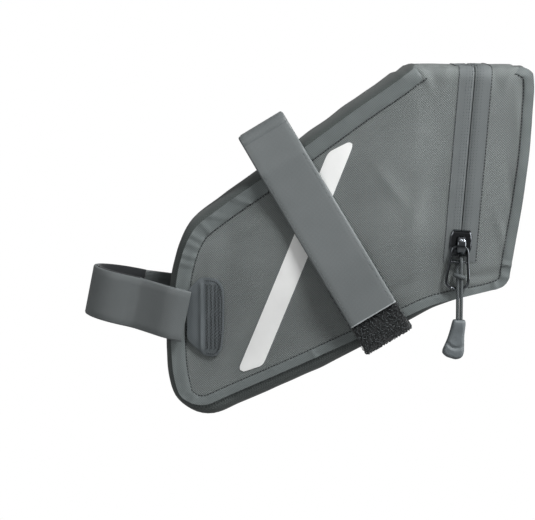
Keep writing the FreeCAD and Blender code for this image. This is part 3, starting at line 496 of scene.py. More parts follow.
def weave_group():
    """Plain weave of two sets of threads, with uneven threads and a cloudy coating over it."""
    group, start = new_group("plain_weave", "ShaderNodeTree",
                             {"Vector": "Vector", "Threads": "Float", "Cloudiness": "Float"},
                             {"Weave": "Float", "Clouds": "Float", "Grain": "Float"})
    sized = node(group, "ShaderNodeVectorMath", {0: start.outputs["Vector"]}, operation="SCALE")
    group.links.new(start.outputs["Threads"], sized.inputs["Scale"])
    wander = node(group, "ShaderNodeTexNoise", {"Vector": start.outputs["Vector"], "Scale": 30.0, "Detail": 2.0})
    bent = node(group, "ShaderNodeVectorMath", {0: sized.outputs[0], 1: wander.outputs["Color"]}, operation="ADD")
    parts = node(group, "ShaderNodeSeparateXYZ", {0: bent.outputs[0]})
    waves = [node(group, "ShaderNodeMath", {0: parts.outputs[axis]}, operation="SINE").outputs[0]
             for axis in (0, 1)]
    check = node(group, "ShaderNodeMath", {0: waves[0], 1: waves[1]}, operation="MULTIPLY")
    weave = node(group, "ShaderNodeMath", {0: check.outputs[0], 1: 0.5, 2: 0.5}, operation="MULTIPLY_ADD")
    clouds = node(group, "ShaderNodeTexNoise", {"Vector": start.outputs["Vector"], "Scale": 5.0, "Detail": 4.0})
    eased = node(group, "ShaderNodeMix", {0: start.outputs["Cloudiness"], 2: 0.5, 3: clouds.outputs["Fac"]},
                 data_type="FLOAT")
    grain = node(group, "ShaderNodeTexNoise", {"Vector": start.outputs["Vector"], "Scale": 260.0, "Detail": 3.0})
    end = node(group, "NodeGroupOutput")
    group.links.new(weave.outputs[0], end.inputs["Weave"])
    group.links.new(eased.outputs[0], end.inputs["Clouds"])
    group.links.new(grain.outputs["Fac"], end.inputs["Grain"])
    return group


plain_weave = weave_group()


def woven_finish(name, dark, light, pitch, rough, weave_depth, sheen=0.0, grain_depth=0.00004, specular=0.5):
    """Woven or knitted cloth: two tones by thread and cloud, uneven gloss, threads in relief.
    pitch is the width of two threads in mm."""
    material, tree, shader = new_finish(name)
    chart = node(tree, "ShaderNodeUVMap", uv_map="UVMap").outputs["UV"]
    woven = node(tree, "ShaderNodeGroup", node_tree=plain_weave)
    tree.links.new(chart, woven.inputs["Vector"])
    woven.inputs["Threads"].default_value = 2 * math.pi * 100 / pitch
    woven.inputs["Cloudiness"].default_value = 0.6
    tone = node(tree, "ShaderNodeMath", {0: woven.outputs["Weave"], 1: woven.outputs["Clouds"]}, operation="ADD")
    mild = node(tree, "ShaderNodeMath", {0: tone.outputs[0], 1: woven.outputs["Grain"]}, operation="ADD")
    share = node(tree, "ShaderNodeMapRange", {"Value": mild.outputs[0], "From Min": 0.55, "From Max": 2.45})
    tree.links.new(blend_colours(tree, share.outputs["Result"], dark, light), shader.inputs["Base Color"])
    tree.links.new(between(tree, woven.outputs["Grain"], rough[0], rough[1]), shader.inputs["Roughness"])
    shader.inputs["Specular IOR Level"].default_value = specular
    if sheen:
        shader.inputs["Sheen Weight"].default_value = sheen
        shader.inputs["Sheen Roughness"].default_value = 0.5
    bump(tree, shader, (woven.outputs["Weave"], weave_depth), (woven.outputs["Grain"], grain_depth))
    return material


CLOTH_PITCH = 1.15
coated_cloth = woven_finish("coated_cloth", grey(70, 75, 75), grey(134, 140, 139), CLOTH_PITCH, (0.6, 0.8),
                            0.00016, sheen=0.05, specular=0.35)
foam_backing = woven_finish("foam_backing", grey(60, 64, 66), grey(84, 88, 90), CLOTH_PITCH, (0.8, 0.95),
                            0.00003)

shell_line = drawn_in(edge_line, 3.0, 2.94, 1.5)
on_side = shell_line[shell_line[:, 1] < FOLD_START - 1]
front_top = np.array([(132.9, FOLD_START - 0.5), (135.4, 114.2), (137.8, 117.6), (TOP_FRONT, FOLD_END),
                      (TOP_FRONT, 136), (TOP_FRONT, CROWN_LINE)])
rear_top = np.array([(TOP_REAR, CROWN_LINE), (TOP_REAR, 136), (189.2, FOLD_END), (190.4, 116.5),
                     (191.6, FOLD_START)])
cloth_loop = np.vstack([even(front_top[::-1], CLOTH_STEP), on_side, even(rear_top[::-1], CLOTH_STEP)])
heights = np.arange(HEEL_LINE, CROWN_LINE + 0.1, CLOTH_STEP)
heights = np.append(heights[heights < CROWN_LINE - 0.8], CROWN_LINE)
SLIT_HALF = 0.4
slit_front = np.stack([slit_x(heights, -SLIT_HALF), heights], axis=1)
slit_rear = np.stack([slit_x(heights, SLIT_HALF), heights], axis=1)
rear_edge = cloth_loop[(cloth_loop[:, 0] > 160) & (cloth_loop[:, 1] > HEEL_LINE)]
rear_edge = rear_edge[rear_edge[:, 1] < CROWN_LINE - 0.5]
heel_x = float(np.interp(HEEL_LINE, rear_edge[:, 1], rear_edge[:, 0]))
heel_rear = even([(slit_x(HEEL_LINE, SLIT_HALF), HEEL_LINE), (heel_x, HEEL_LINE)], CLOTH_STEP)
heel_front = even([(heel_x, HEEL_LINE), (slit_x(HEEL_LINE, -SLIT_HALF), HEEL_LINE)], CLOTH_STEP)
cover_loop = np.vstack([slit_rear[::-1], heel_rear[1:], rear_edge, [(TOP_REAR, CROWN_LINE)]])
before_heel = cloth_loop[~((cloth_loop[:, 0] > 150) & (cloth_loop[:, 1] > HEEL_LINE - 0.2))]
before_heel = before_heel[before_heel[:, 1] < CROWN_LINE - 0.5]
body_loop = np.vstack([[(TOP_FRONT, CROWN_LINE)], before_heel, heel_front, slit_front[1:]])


def with_cover(piece):
    """Bakes the piece's placement into its mesh; on the real bag it turns with the cover above the heel."""
    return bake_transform(piece)


for side_name, side in (("left", -1), ("right", 1)):
    for part_name, loop in (("side_cloth", body_loop), ("cover_cloth", cover_loop)):
        flat, faces = cut_cloth(loop, 1.9)
        piece = thick_sheet(f"{side_name}_{part_name}", flat, faces, drape(flat, 0, side),
                            drape(flat, -CLOTH, side), [coated_cloth, foam_backing], right=side > 0)
        if part_name == "side_cloth":
            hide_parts(f"{side_name}_side_panel", "top_panel")
            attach(piece, "bag")
        else:
            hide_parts(f"cover_{side_name}_side", "cover_top")
            with_cover(piece)

# ---- Gussets ----
# One band of the same cloth closes the slope, the front, the belly and the rear between the two
# sides. It is cut full, so it swells out between the welded edges, and its rear end tucks under the top.

gusset_line = np.vstack([[(140.6, 118.0)], shell_line[shell_line[:, 1] < 112.5],
                         [(191.2, 113.5), (189.6, 116.2), (187.4, 116.9)]])
gusset_line = even(gusset_line, CLOTH_STEP)
run_along = distance_along(gusset_line)
way = heading(gusset_line)
away = np.stack([way[:, 1], -way[:, 0]], axis=1)
for _ in range(6):
    away[1:-1] = (away[:-2] + 2 * away[1:-1] + away[2:]) / 4
away /= np.linalg.norm(away, axis=1)[:, None]
steps_across = 30
angles = np.linspace(-math.pi / 2, math.pi / 2, steps_across + 1)
SHOULDER = 0.5  # power that squares the gusset's section


def gusset_rows(drop, lower, upper):
    """Rows of points across the gusset, sunk by drop, for the part of the line between two indices."""
    points, chart = [], []
    for i in range(lower, upper):
        x, z = gusset_line[i]
        run = run_along[i]
        rear = float(smooth(np.array(x), 140, 178))
        belly_part = float(smooth(np.array(-z), -12, 22) * smooth(np.array(x), 26, 44))
        swell_out = 3.6 + (2.9 + 4.4 * belly_part) * (1 - rear)
        swell_out += 0.5 * float(noise.noise(Vector((run / 21, 0.3, 5))))
        end_fade = min(1.0, (run_along[-1] - run) / 14 + 0.55, run / 16 + 0.45)
        bent_in = FOLD * (1 - math.sqrt(max(0.0, 1 - (max(0.0, z - FOLD_START) / FOLD) ** 2)))
        under_top = x > 170 and z > FOLD_START + 0.85 * FOLD
        for angle in angles:
            across = math.copysign(abs(math.sin(angle)) ** SHOULDER, math.sin(angle))
            rise_out = abs(math.cos(angle)) ** SHOULDER if abs(angle) < math.pi / 2 - 1e-6 else 0.0
            width = half_width(x) - 0.5 - bent_in - drop * abs(across)
            wrinkle = 0.2 * noise.noise(Vector((run / 9, across * 2.2, 2.0)))
            wrinkle += 0.2 * noise.noise(Vector((run / 24, across * 1.1, 8.0)))
            out = rise_out * (swell_out * end_fade + wrinkle)
            if under_top:
                inset = half_width(x) - abs(across * width)
                out = min(out, 0.2 + TOP_CROWN * float(smooth(inset, 4, 38)))
            out -= drop * rise_out
            points.append((x + away[i][0] * out, across * width, z + away[i][1] * out))
            chart.append((run, across * width))
    return np.array(points), np.array(chart)


def gusset_piece(name, lower, upper):
    """A length of gusset with its thickness."""
    outer, chart = gusset_rows(0.0, lower, upper)
    inner, _ = gusset_rows(CLOTH, lower, upper)
    rows, wide, count = upper - lower, steps_across + 1, len(outer)
    quads = [(i * wide + j, i * wide + j + 1, (i + 1) * wide + j + 1, (i + 1) * wide + j)
             for i in range(rows - 1) for j in range(steps_across)]
    under = [tuple(k + count for k in q[::-1]) for q in quads]
    rims = []
    for i in range(rows - 1):
        a, b = i * wide, (i + 1) * wide
        rims.append((a, b, b + count, a + count))
        a, b = a + steps_across, b + steps_across
        rims.append((b, a, a + count, b + count))
    for j in range(steps_across):
        rims.append((j + 1, j, j + count, j + 1 + count))
        a = (rows - 1) * wide + j
        rims.append((a, a + 1, a + 1 + count, a + count))
    return add_piece(name, np.vstack([outer, inner]), quads + under + rims, gusset_fabric_and_painted_shade,
                     np.vstack([chart, chart]))


# Darker than the sides: partly the gusset cloth's own darker tone, partly painted shade for the saddle's shadow
# over the slope, laid on the whole gusset.
gusset_fabric_and_painted_shade = woven_finish("gusset_fabric_and_painted_shade", grey(51, 56, 55), grey(92, 98, 97), CLOTH_PITCH, (0.62, 0.8),
                            0.00008, sheen=0.05, specular=0.35)
heel_index = int(np.argmax((gusset_line[:, 0] > 170) & (gusset_line[:, 1] >= HEEL_LINE)))
main_gusset = gusset_piece("front_and_belly_gusset", 0, heel_index + 1)
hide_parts("slope_gusset", "front_gusset", "belly_gusset", "rear_lower_panel")
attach(main_gusset, "bag")
rear_gusset = gusset_piece("rear_gusset", heel_index, len(gusset_line))
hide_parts("cover_rear_panel")
with_cover(rear_gusset)

# ---- Welded edges ----
# The side and the gusset are welded and stitched together in a flat band that follows the whole edge.
# It puckers where the band turns at the front.

BAND = 6.9
COVER_FROM = 165  # the rear edge starts behind this


def band_width(line):
    """Wide round the nose, narrower along the belly, round the heel and up the rear."""
    rear = smooth(line[:, 0], 128, 172)
    belly_run = smooth(line[:, 0] - line[:, 1], 62, 84) * (1 - rear)
    heel = np.exp(-((line[:, 0] - 172) / 14) ** 2 - ((line[:, 1] - 10) / 10) ** 2)
    return BAND - 2.3 * rear * smooth(-line[:, 1] + line[:, 0], 20, 75) - 1.1 * heel - 2.6 * belly_run


def inside_band(extra, step):
    """The inner edge of the welded band, moved in a little further by extra."""
    wide = band_width(edge_line) + extra
    return drawn_in(edge_line, wide[:, None], wide * 0.97, step)


inner_edge = inside_band(0.0, 1.2)
band_loop = np.vstack([edge_line, inner_edge[::-1]])
pleat_spots = [(31.5, 36.5), (29.6, 32.3), (28.2, 27.6), (27.4, 22.4), (36.2, 42.2), (27.0, -42.5),
               (32.0, -45.8), (183.0, 17.5), (184.2, 22.5), (177.5, 12.8)]


def pucker(flat):
    """Small pleats across the welded band, and a slight wave along it."""
    total = 0.22 * ripple(flat[:, 0], flat[:, 1], 7, 1.5)
    for px, pz in pleat_spots:
        near = np.argmin(np.linalg.norm(edge_line - (px, pz), axis=1))
        near = min(max(near, 1), len(edge_line) - 2)
        run = edge_line[near + 1] - edge_line[near - 1]
        run /= np.linalg.norm(run)
        along = (flat - edge_line[near]) @ run
        total += 0.7 * np.exp(-(along / 0.75) ** 2)
    return total


welded_band = woven_finish("welded_band", grey(76, 82, 82), grey(122, 129, 129), CLOTH_PITCH, (0.5, 0.72),
                           0.00005, specular=0.4)
for side_name, side in (("left", -1), ("right", 1)):
    flat, faces = cut_cloth(band_loop, 1.5)
    middle = flat[faces].mean(axis=1)
    behind = (middle[:, 0] > COVER_FROM) & (middle[:, 1] > HEEL_LINE)
    for part_name, chosen, cad_node in (("welded_edge", ~behind, f"{side_name}_edge_tape"),
                                        ("cover_welded_edge", behind, f"cover_{side_name}_edge_tape")):
        here, some = used_only(flat, faces[chosen])
        height = pucker(here)
        depth_in = nearest(here, edge_line)
        press = 0.25 * np.exp(-((depth_in - 2.2) / 0.5) ** 2)
        seam_sink = 0.5 * smooth(-nearest(here, inner_edge), -0.9, 0)
        outer = drape(here, 0.75 + height - press - seam_sink, side, creased=False)
        inner = drape(here, -0.55 + height, side, creased=False)
        piece = thick_sheet(f"{side_name}_{part_name}", here, some, outer, inner, welded_band, right=side > 0)
        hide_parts(cad_node)
        if part_name == "welded_edge":
            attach(piece, "bag")
        else:
            with_cover(piece)

# ---- Stitching ----
# Bonded polyester thread, a little darker than the cloth, in a running stitch beside each weld
# and along both tapes of the zip.


def solid_finish(name, dark, light, tone, gloss, rough, *relief):
    """Thread, nylon, metal, rubber or board: its tone, gloss and relief each follow a fine pattern.
    A pattern is the scale and detail of a noise, or only the scale of a grid of beads."""
    material, tree, shader = new_finish(name)
    place = node(tree, "ShaderNodeTexCoord").outputs["Object"]
    made = {}
    for pattern in (tone, gloss, *(pattern for pattern, _ in relief)):
        if pattern in made:
            continue
        if len(pattern) == 1:
            beads = node(tree, "ShaderNodeTexVoronoi", {"Vector": place, "Scale": pattern[0]})
            made[pattern] = beads.outputs["Distance"]
        else:
            specks = node(tree, "ShaderNodeTexNoise", {"Vector": place, "Scale": pattern[0], "Detail": pattern[1]})
            made[pattern] = specks.outputs["Fac"]
    tree.links.new(blend_colours(tree, made[tone], dark, light), shader.inputs["Base Color"])
    tree.links.new(between(tree, made[gloss], *rough), shader.inputs["Roughness"])
    bump(tree, shader, *((made[pattern], depth) for pattern, depth in relief))
    return material


TWIST = (2500.0, 2.0)
thread = solid_finish("sewing_thread", grey(20, 22, 24), grey(50, 54, 56), TWIST, TWIST, (0.5, 0.75),
                      (TWIST, 0.00005))


def stitch_tree():
    """Instances a rounded stitch at even steps along every line of a wire mesh."""
    tree, start = new_group("running_stitch", "GeometryNodeTree",
                            {"Geometry": "Geometry", "Pitch": "Float", "Length": "Float", "Width": "Float",
                             "Height": "Float", "Material": "Material"}, {"Geometry": "Geometry"})
    line = node(tree, "GeometryNodeMeshToCurve", {"Mesh": start.outputs["Geometry"]})
    spaced = node(tree, "GeometryNodeResampleCurve", {"Curve": line.outputs[0], "Length": start.outputs["Pitch"]},
                  mode="LENGTH")
    ball = node(tree, "GeometryNodeMeshUVSphere", {"Segments": 6, "Rings": 4, "Radius": 0.5})
    size = node(tree, "ShaderNodeCombineXYZ", {"X": start.outputs["Length"], "Y": start.outputs["Width"],
                                               "Z": start.outputs["Height"]})
    shaped = node(tree, "GeometryNodeTransform", {"Geometry": ball.outputs[0], "Scale": size.outputs[0]})
    tangent = node(tree, "GeometryNodeInputTangent")
    turned = node(tree, "FunctionNodeAlignRotationToVector", {"Vector": tangent.outputs[0]}, axis="X")
    placed = node(tree, "GeometryNodeInstanceOnPoints",
                  {"Points": spaced.outputs[0], "Instance": shaped.outputs[0], "Rotation": turned.outputs[0]})
    real = node(tree, "GeometryNodeRealizeInstances", {"Geometry": placed.outputs[0]})
    round_off = node(tree, "GeometryNodeSetShadeSmooth", {"Geometry": real.outputs[0]})
    coloured = node(tree, "GeometryNodeSetMaterial", {"Geometry": round_off.outputs[0],
                                                      "Material": start.outputs["Material"]})
    end = node(tree, "NodeGroupOutput")
    tree.links.new(coloured.outputs[0], end.inputs["Geometry"])
    return tree


running_stitch = stitch_tree()


def run_nodes(piece, tree, **values):
    """Runs a node tree on a piece and keeps the result as its plain mesh."""
    modifier = piece.modifiers.new("made", "NODES")
    modifier.node_group = tree
    for item in tree.interface.items_tree:
        if item.in_out == "INPUT" and item.name in values:
            modifier[item.identifier] = values[item.name]
    piece.update_tag()
    bpy.context.view_layer.update()
    ready = piece.evaluated_get(bpy.context.evaluated_depsgraph_get())
    result = bpy.data.meshes.new_from_object(ready, preserve_all_data_layers=True,
                                             depsgraph=bpy.context.evaluated_depsgraph_get())
    piece.modifiers.remove(modifier)
    piece.data = result
    return piece


def stitch_rows(name, lines, pitch, length, width, height, finish=thread):
    """Rows of stitches along lines given in mm."""
    points, edges = [], []
    for line in lines:
        first = len(points)
        points.extend(tuple(float(c) / 1000 for c in p) for p in line)
        edges += [(first + i, first + i + 1) for i in range(len(line) - 1)]
    wire = bpy.data.meshes.new(name)
    wire.from_pydata(points, edges, [])
    piece = bpy.data.objects.new(name, wire)
    scene.collection.objects.link(piece)
    return run_nodes(piece, running_stitch, Pitch=pitch / 1000, Length=length / 1000, Width=width / 1000,
                     Height=height / 1000, Material=finish)


def split_line(line):
    """The parts of a line before the heel and behind it."""
    above = (line[:, 0] > COVER_FROM) & (line[:, 1] > HEEL_LINE)
    first = int(np.argmax(above)) if above.any() else len(line)
    return line[:first + 1], line[first:]


weld_line = inside_band(0.3, 1.0)
before, behind = split_line(weld_line)
stay_lines = [drape(before, 0.28, side) for side in (-1, 1)]
body_stitches = stitch_rows("weld_stitches", stay_lines, 1.5, 1.0, 0.62, 0.5)
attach(body_stitches, "bag")
cover_lines = [drape(behind, 0.28, side) for side in (-1, 1)]
cover_stitches = stitch_rows("cover_weld_stitches", cover_lines, 1.5, 1.05, 0.7, 0.5)
with_cover(cover_stitches)

# ---- Zip ----
# A coil zip turned face down: two woven tapes welded into the slit, the coil on the inside,
# and the line of its teeth pressing through the tape.

TAPE_PITCH = 0.9
FRONT_TAPE, REAR_TAPE, TAPE_GAP = -7.3, 8.0, 0.22
zip_tape = woven_finish("zip_tape", grey(80, 85, 86), grey(118, 123, 124), TAPE_PITCH, (0.6, 0.8), 0.00005,
                        specular=0.3)
STREAK = (900.0, 2.0)
coil_nylon = solid_finish("coil_nylon", grey(26, 28, 30), grey(48, 52, 54), STREAK, STREAK, (0.35, 0.55),
                          (STREAK, 0.00003))

tape_heights = np.append(np.arange(ZIP_FOOT_Z, CROWN_LINE - 1.2, 1.8), CROWN_LINE)
tape_plans = [("zip_front_weave", FRONT_TAPE, -TAPE_GAP, "zip_front_tape", "bag"),
              ("zip_rear_weave", TAPE_GAP, REAR_TAPE, "zip_rear_tape", "cover")]
for name, near, far, cad_node, body in tape_plans:
    lines = [np.stack([slit_x(tape_heights, across), tape_heights], axis=1) for across in (far, near)]
    loop = np.vstack([lines[0], lines[1][::-1]])
    for side_name, side in (("left", -1), ("right", 1)):
        flat, faces = cut_cloth(loop, 1.6)
        across = (flat[:, 0] - slit_x(flat[:, 1])) * math.cos(ZIP_LEAN)
        slope_in = 0.42 * np.exp(-(np.abs(across) / 0.7) ** 2)
        ridge = 0.12 * np.exp(-((np.abs(across) - 3.4) / 0.8) ** 2)
        outer = drape(flat, 0.32 + ridge - slope_in, side)
        inner = drape(flat, -0.05, side)
        piece = thick_sheet(f"{side_name}_{name}", flat, faces, outer, inner, zip_tape, right=side > 0)
        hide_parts(cad_node)
        if body == "bag":
            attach(piece, "bag")
        else:
            with_cover(piece)

# Darker than the tape: the bumps where the teeth press through are painted in this tone as painted shade of their
# relief, and the front tape's stitches use it as their thread colour.
tooth_shade_and_zip_thread = woven_finish("tooth_marks", grey(44, 48, 50), grey(80, 86, 88), TAPE_PITCH, (0.5, 0.7), 0.00002)
row_heights = np.append(np.arange(25.4, CROWN_LINE - 1.2, 1.6), CROWN_LINE)


def zip_rows(across, out):
    """A row beside the slit, on both sides of the bag, as lines in mm."""
    flat = np.stack([slit_x(row_heights, across), row_heights], axis=1)
    left, right = drape(flat, out, -1), drape(flat, out, 1)
    return np.vstack([left, right[::-1][1:]])


front_rows = stitch_rows("zip_front_stitches", [zip_rows(-7.4, 0.2)], 1.5, 1.0, 0.5, 0.4, tooth_shade_and_zip_thread)
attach(front_rows, "bag")
rear_rows = stitch_rows("zip_rear_stitches", [zip_rows(8.1, 0.3)], 1.5, 1.1, 0.75, 0.5)
with_cover(rear_rows)
mark_places = (1.3, 2.5, 3.9)
front_press = stitch_rows("zip_front_teeth_marks", [zip_rows(-a, 0.3) for a in mark_places],
                          1.5, 0.7, 0.55, 0.34, tooth_shade_and_zip_thread)
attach(front_press, "bag")
rear_press = stitch_rows("zip_rear_teeth_marks", [zip_rows(a, 0.3) for a in mark_places],
                         1.5, 0.7, 0.55, 0.34, tooth_shade_and_zip_thread)
with_cover(rear_press)

COIL_OFF, COIL_DEEP = 1.5, CLOTH + 0.8
front_coil = stitch_rows("zip_front_coil_teeth", [zip_rows(-COIL_OFF, -COIL_DEEP)],
                         1.25, 0.85, 2.4, 1.4, coil_nylon)
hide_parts("zip_front_coil")
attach(front_coil, "bag")
rear_coil = stitch_rows("zip_rear_coil_teeth", [zip_rows(COIL_OFF, -COIL_DEEP)],
                        1.25, 0.85, 2.4, 1.4, coil_nylon)
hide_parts("zip_rear_coil")
with_cover(rear_coil)
end_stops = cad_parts["zip_end_stops"].data
end_stops.materials.clear()
end_stops.materials.append(coil_nylon)

# ---- Slider ----
# Zinc die casting, plated black nickel: an outer plate, an inner plate, the neck between them,
# and the bridge that the pull ring hangs from.

PLATING, WORN = (350.0, 4.0), (90.0, 5.0)
black_nickel = solid_finish("black_nickel", grey(74, 77, 80), grey(124, 128, 132), WORN, PLATING, (0.08, 0.24),
                            (PLATING, 0.00001), (WORN, 0.00003))
black_nickel.node_tree.nodes["Principled BSDF"].inputs["Metallic"].default_value = 1.0


def cast_plate(name, corners, out_face, in_face, round_over, step=0.6, cut=0.9):
    """A flat casting in the zip's frame with rounded edges. Its outline is (along, up) in mm."""
    loop = even(soften(corners + corners[:2], cut)[5:], step)
    loop = loop[:-1] if np.linalg.norm(loop[0] - loop[-1]) < step * 0.7 else loop
    flat, faces = cut_cloth(loop, step)
    rim = from_rim(flat, loop)
    share = np.sqrt(1 - (1 - np.clip(rim / round_over, 0, 1)) ** 2)
    middle, half = (out_face + in_face) / 2, (out_face - in_face) / 2
    outer = np.array([zip_point(u, middle + half * s, v) for (u, v), s in zip(flat, share)])
    inner = np.array([zip_point(u, middle - half * s, v) for (u, v), s in zip(flat, share)])
    return thick_sheet(name, flat, faces, outer, inner, black_nickel)


hexagon = [(-4.4, 15.6), (-5.2, 12.9), (-5.4, 7.4), (-4.1, 3.4), (4.1, 3.4), (5.4, 7.4), (5.2, 12.9),
           (4.4, 15.6)]
slider_outer = cast_plate("slider_outer_plate", hexagon, -39.45, -38.2, 0.5)
slider_inner = cast_plate("slider_inner_plate", hexagon, -34.8, -33.8, 0.4)
wedge = [(-0.7, 14.9), (-0.7, 9.6), (0.7, 9.6), (0.7, 14.9)]
slider_neck = cast_plate("slider_neck", wedge, -38.5, -34.5, 0.2, 0.35, 0.3)
lip = [(-4.3, 15.9), (-4.3, 15.0), (4.3, 15.0), (4.3, 15.9)]
slider_lip = cast_plate("slider_lip", lip, -40.3, -38.6, 0.3, 0.3, 0.3)
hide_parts("slider_body")
for piece in (slider_outer, slider_inner, slider_neck, slider_lip):
    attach(piece, "zip_slider")


def ribbon(name, centres, acrosses, normals, width, thickness, finish):
    """A flat strap swept along centres, with rounded edges. acrosses and normals are its directions at
    each, and width is one number or one for each."""
    centres, acrosses, normals = (np.asarray(part, float) for part in (centres, acrosses, normals))
    count = len(centres)
    widths = np.broadcast_to(width, count)
    half_thick = thickness / 2
    columns = np.linspace(-1, 1, 9)
    bends = [(math.cos(math.radians(a)), math.sin(math.radians(a))) for a in (50, 90, 130)]
    section = [(c, 1.0, 0.0) for c in columns] + [(1.0, up, over) for up, over in bends]
    section += [(c, -1.0, 0.0) for c in columns[::-1]] + [(-1.0, up, -over) for up, over in bends[::-1]]
    ring = len(section)
    run = distance_along(centres)
    points, chart = [], []
    for i in range(count):
        for c, up, over in section:
            offset = c * (widths[i] / 2 - half_thick) + over * half_thick
            points.append(centres[i] + acrosses[i] * offset + normals[i] * (up * half_thick))
            chart.append((run[i], offset))
    faces = []
    for a in range(0, (count - 1) * ring, ring):
        for j in range(ring):
            k = (j + 1) % ring
            faces.append((a + j, a + k, a + ring + k, a + ring + j))
    faces.append(tuple(range(ring))[::-1])
    faces.append(tuple((count - 1) * ring + j for j in range(ring)))
    piece = add_piece(name, points, faces, finish, chart)
    form = bmesh.new()
    form.from_mesh(piece.data)
    bmesh.ops.recalc_face_normals(form, faces=form.faces)
    form.to_mesh(piece.data)
    form.free()
    sharp_rim(piece, 55)
    return piece


def strap_rows(line, place):
    """Centres, across and outward directions for a strap that follows (out, up) points of a frame."""
    centres = [place(0, out, up) for out, up in line]
    base = place(0, 0, 0)
    normals = []
    for out, up in heading(line):
        direction = place(0, up, -out) - base
        normals.append(direction / np.linalg.norm(direction))
    return centres, [place(1, 0, 0) - base] * len(centres), normals


bridge_line = [(-39.0, 4.7), (-41.6, 4.9), (-43.2, 6.8), (-43.3, 9.6), (-41.9, 12.2), (-39.0, 12.8)]
bridge_line = even(soften(bridge_line, 1.9), 0.4)
bridge_width = 4.3 - 1.0 * np.abs(np.linspace(-1, 1, len(bridge_line))) ** 2
slider_bridge = ribbon("slider_bridge", *strap_rows(bridge_line, zip_point), bridge_width, 1.3, black_nickel)
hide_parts("slider_bail")
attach(slider_bridge, "zip_slider")

# ---- Pull ring ----
# Round wire bent into a drop and joined, and plated like the slider. The cord hangs from
# the thinner bar across its upper part.


def wire_loop(name, line, radius, finish, closed=True):
    """Round wire along a smooth line of points in mm."""
    curve = bpy.data.curves.new(name, "CURVE")
    curve.dimensions = "3D"
    spline = curve.splines.new("NURBS")
    spline.points.add(len(line) - 1)
    for point, place in zip(spline.points, line):
        point.co = (*[c / 1000 for c in place], 1)
    spline.order_u = 3 if not closed else 4
    spline.use_cyclic_u = closed
    spline.use_endpoint_u = not closed
    spline.resolution_u = 10
    curve.bevel_depth = radius / 1000
    curve.bevel_resolution = 4
    curve.use_fill_caps = True
    holder = bpy.data.objects.new(name, curve)
    scene.collection.objects.link(holder)
    bpy.context.view_layer.update()
    mesh = bpy.data.meshes.new_from_object(holder.evaluated_get(bpy.context.evaluated_depsgraph_get()))
    bpy.data.objects.remove(holder)
    piece = bpy.data.objects.new(name, mesh)
    mesh.materials.clear()
    mesh.materials.append(finish)
    mesh.shade_smooth()
    scene.collection.objects.link(piece)
    return piece


half_drop = [(1.3, 7.7), (3.2, 7.5), (3.9, 5.4), (4.1, 2.0), (4.7, -2.5), (5.3, -7.0), (5.2, -10.0),
             (3.4, -12.2), (1.1, -12.3)]
drop_line = [(-0.25 + u, v) for u, v in half_drop] + [(-0.25 - u, v) for u, v in half_drop[::-1]]
drop_ring = wire_loop("drop_ring", [zip_point(u, ring_out, v) for u, v in drop_line], 0.72, black_nickel)
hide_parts("pull_ring")
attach(drop_ring, "pull_ring")
bar_line = [zip_point(u, ring_out, bar_height) for u in (-4.0, -1.3, 1.0, 3.5)]
ring_bar = wire_loop("ring_bar", bar_line, 0.55, black_nickel, closed=False)
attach(ring_bar, "pull_ring")

# ---- Grip ----
# Soft rubber moulded over both ends of the cord, swept forwards at its foot, with a hollow for
# the thumb.

PORES, PATCHY = (1600.0, 3.0), (140.0, 3.0)
grip_rubber = solid_finish("grip_rubber", grey(84, 90, 93), grey(104, 111, 114), PATCHY, PORES, (0.45, 0.68),
                           (PORES, 0.00004), (PATCHY, 0.00005))

grip_top = -26.7
grip_long = 19.6
grip_outline = [
    (-0.9, 0), (4.9, 0), (5.3, 0.1), (5.1, 0.4), (5.7, 0.8), (4.9, 0.94), (2.0, 1.0), (-2.9, 0.94), (-4.9, 0.85),
    (-4.8, 0.76), (-3.0, 0.5), (-1.9, 0.25), (-1.4, 0.08),
]
grip_corners = [(u, grip_top - share * grip_long) for u, share in grip_outline]
grip_loop = even(soften(grip_corners + grip_corners[:2], 1.6)[5:], 0.55)[:-1]
flat, faces = cut_cloth(grip_loop, 0.6)
rim = from_rim(flat, grip_loop)
dome = np.sqrt(1 - (1 - np.clip(rim / 1.7, 0, 1)) ** 2)
thumb = np.hypot(flat[:, 0] - 1.4, flat[:, 1] - (grip_top - 8.6))
hollow = 0.75 * np.exp(-((thumb - 5.2) / 0.8) ** 2) * smooth(-(flat[:, 1] - grip_top), 8.5, 12)
dish = 0.5 * smooth(6.5 - thumb, 0, 5)
grip_out = ring_out - 1.9
front = [zip_point(u, grip_out - (2.1 * d - (h + s) * d), v)
         for (u, v), d, h, s in zip(flat, dome, hollow, dish)]
back = [zip_point(u, grip_out + 2.0 * d, v) for (u, v), d in zip(flat, dome)]
pull_grip = thick_sheet("pull_grip_rubber", flat, faces, np.array(front), np.array(back), grip_rubber)
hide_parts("pull_grip")
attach(pull_grip, "pull_cord")

# ---- Cord knot ----
# One turn of the same braid, tied round both lengths of the cord in the ring's drop, so that they
# stay together. From there the cord hangs free down to the grip.

knot_line = []
for around in np.linspace(0, 2 * math.pi, 15)[:-1]:
    knot_line.append(zip_point(0.45 + 2.1 * math.cos(around), ring_out - 1.8 + 1.35 * math.sin(around),
                               bar_height - 6.6 - 0.35 * math.cos(around)))
cord_wrap = wire_loop("cord_wrap", knot_line, 1.05, cord_finish)
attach(cord_wrap, "pull_cord")

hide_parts("pull_cord")
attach(pull_cord, "pull_cord")
exit_point = tuple(c / 1000 for c in zip_point(2.85, ring_out - 1.9, bar_height - 27.2))

# ---- Reflective strips ----
# Silver cloth with glass beads, cut with slanted ends and bonded to each side under
# the rail strap.

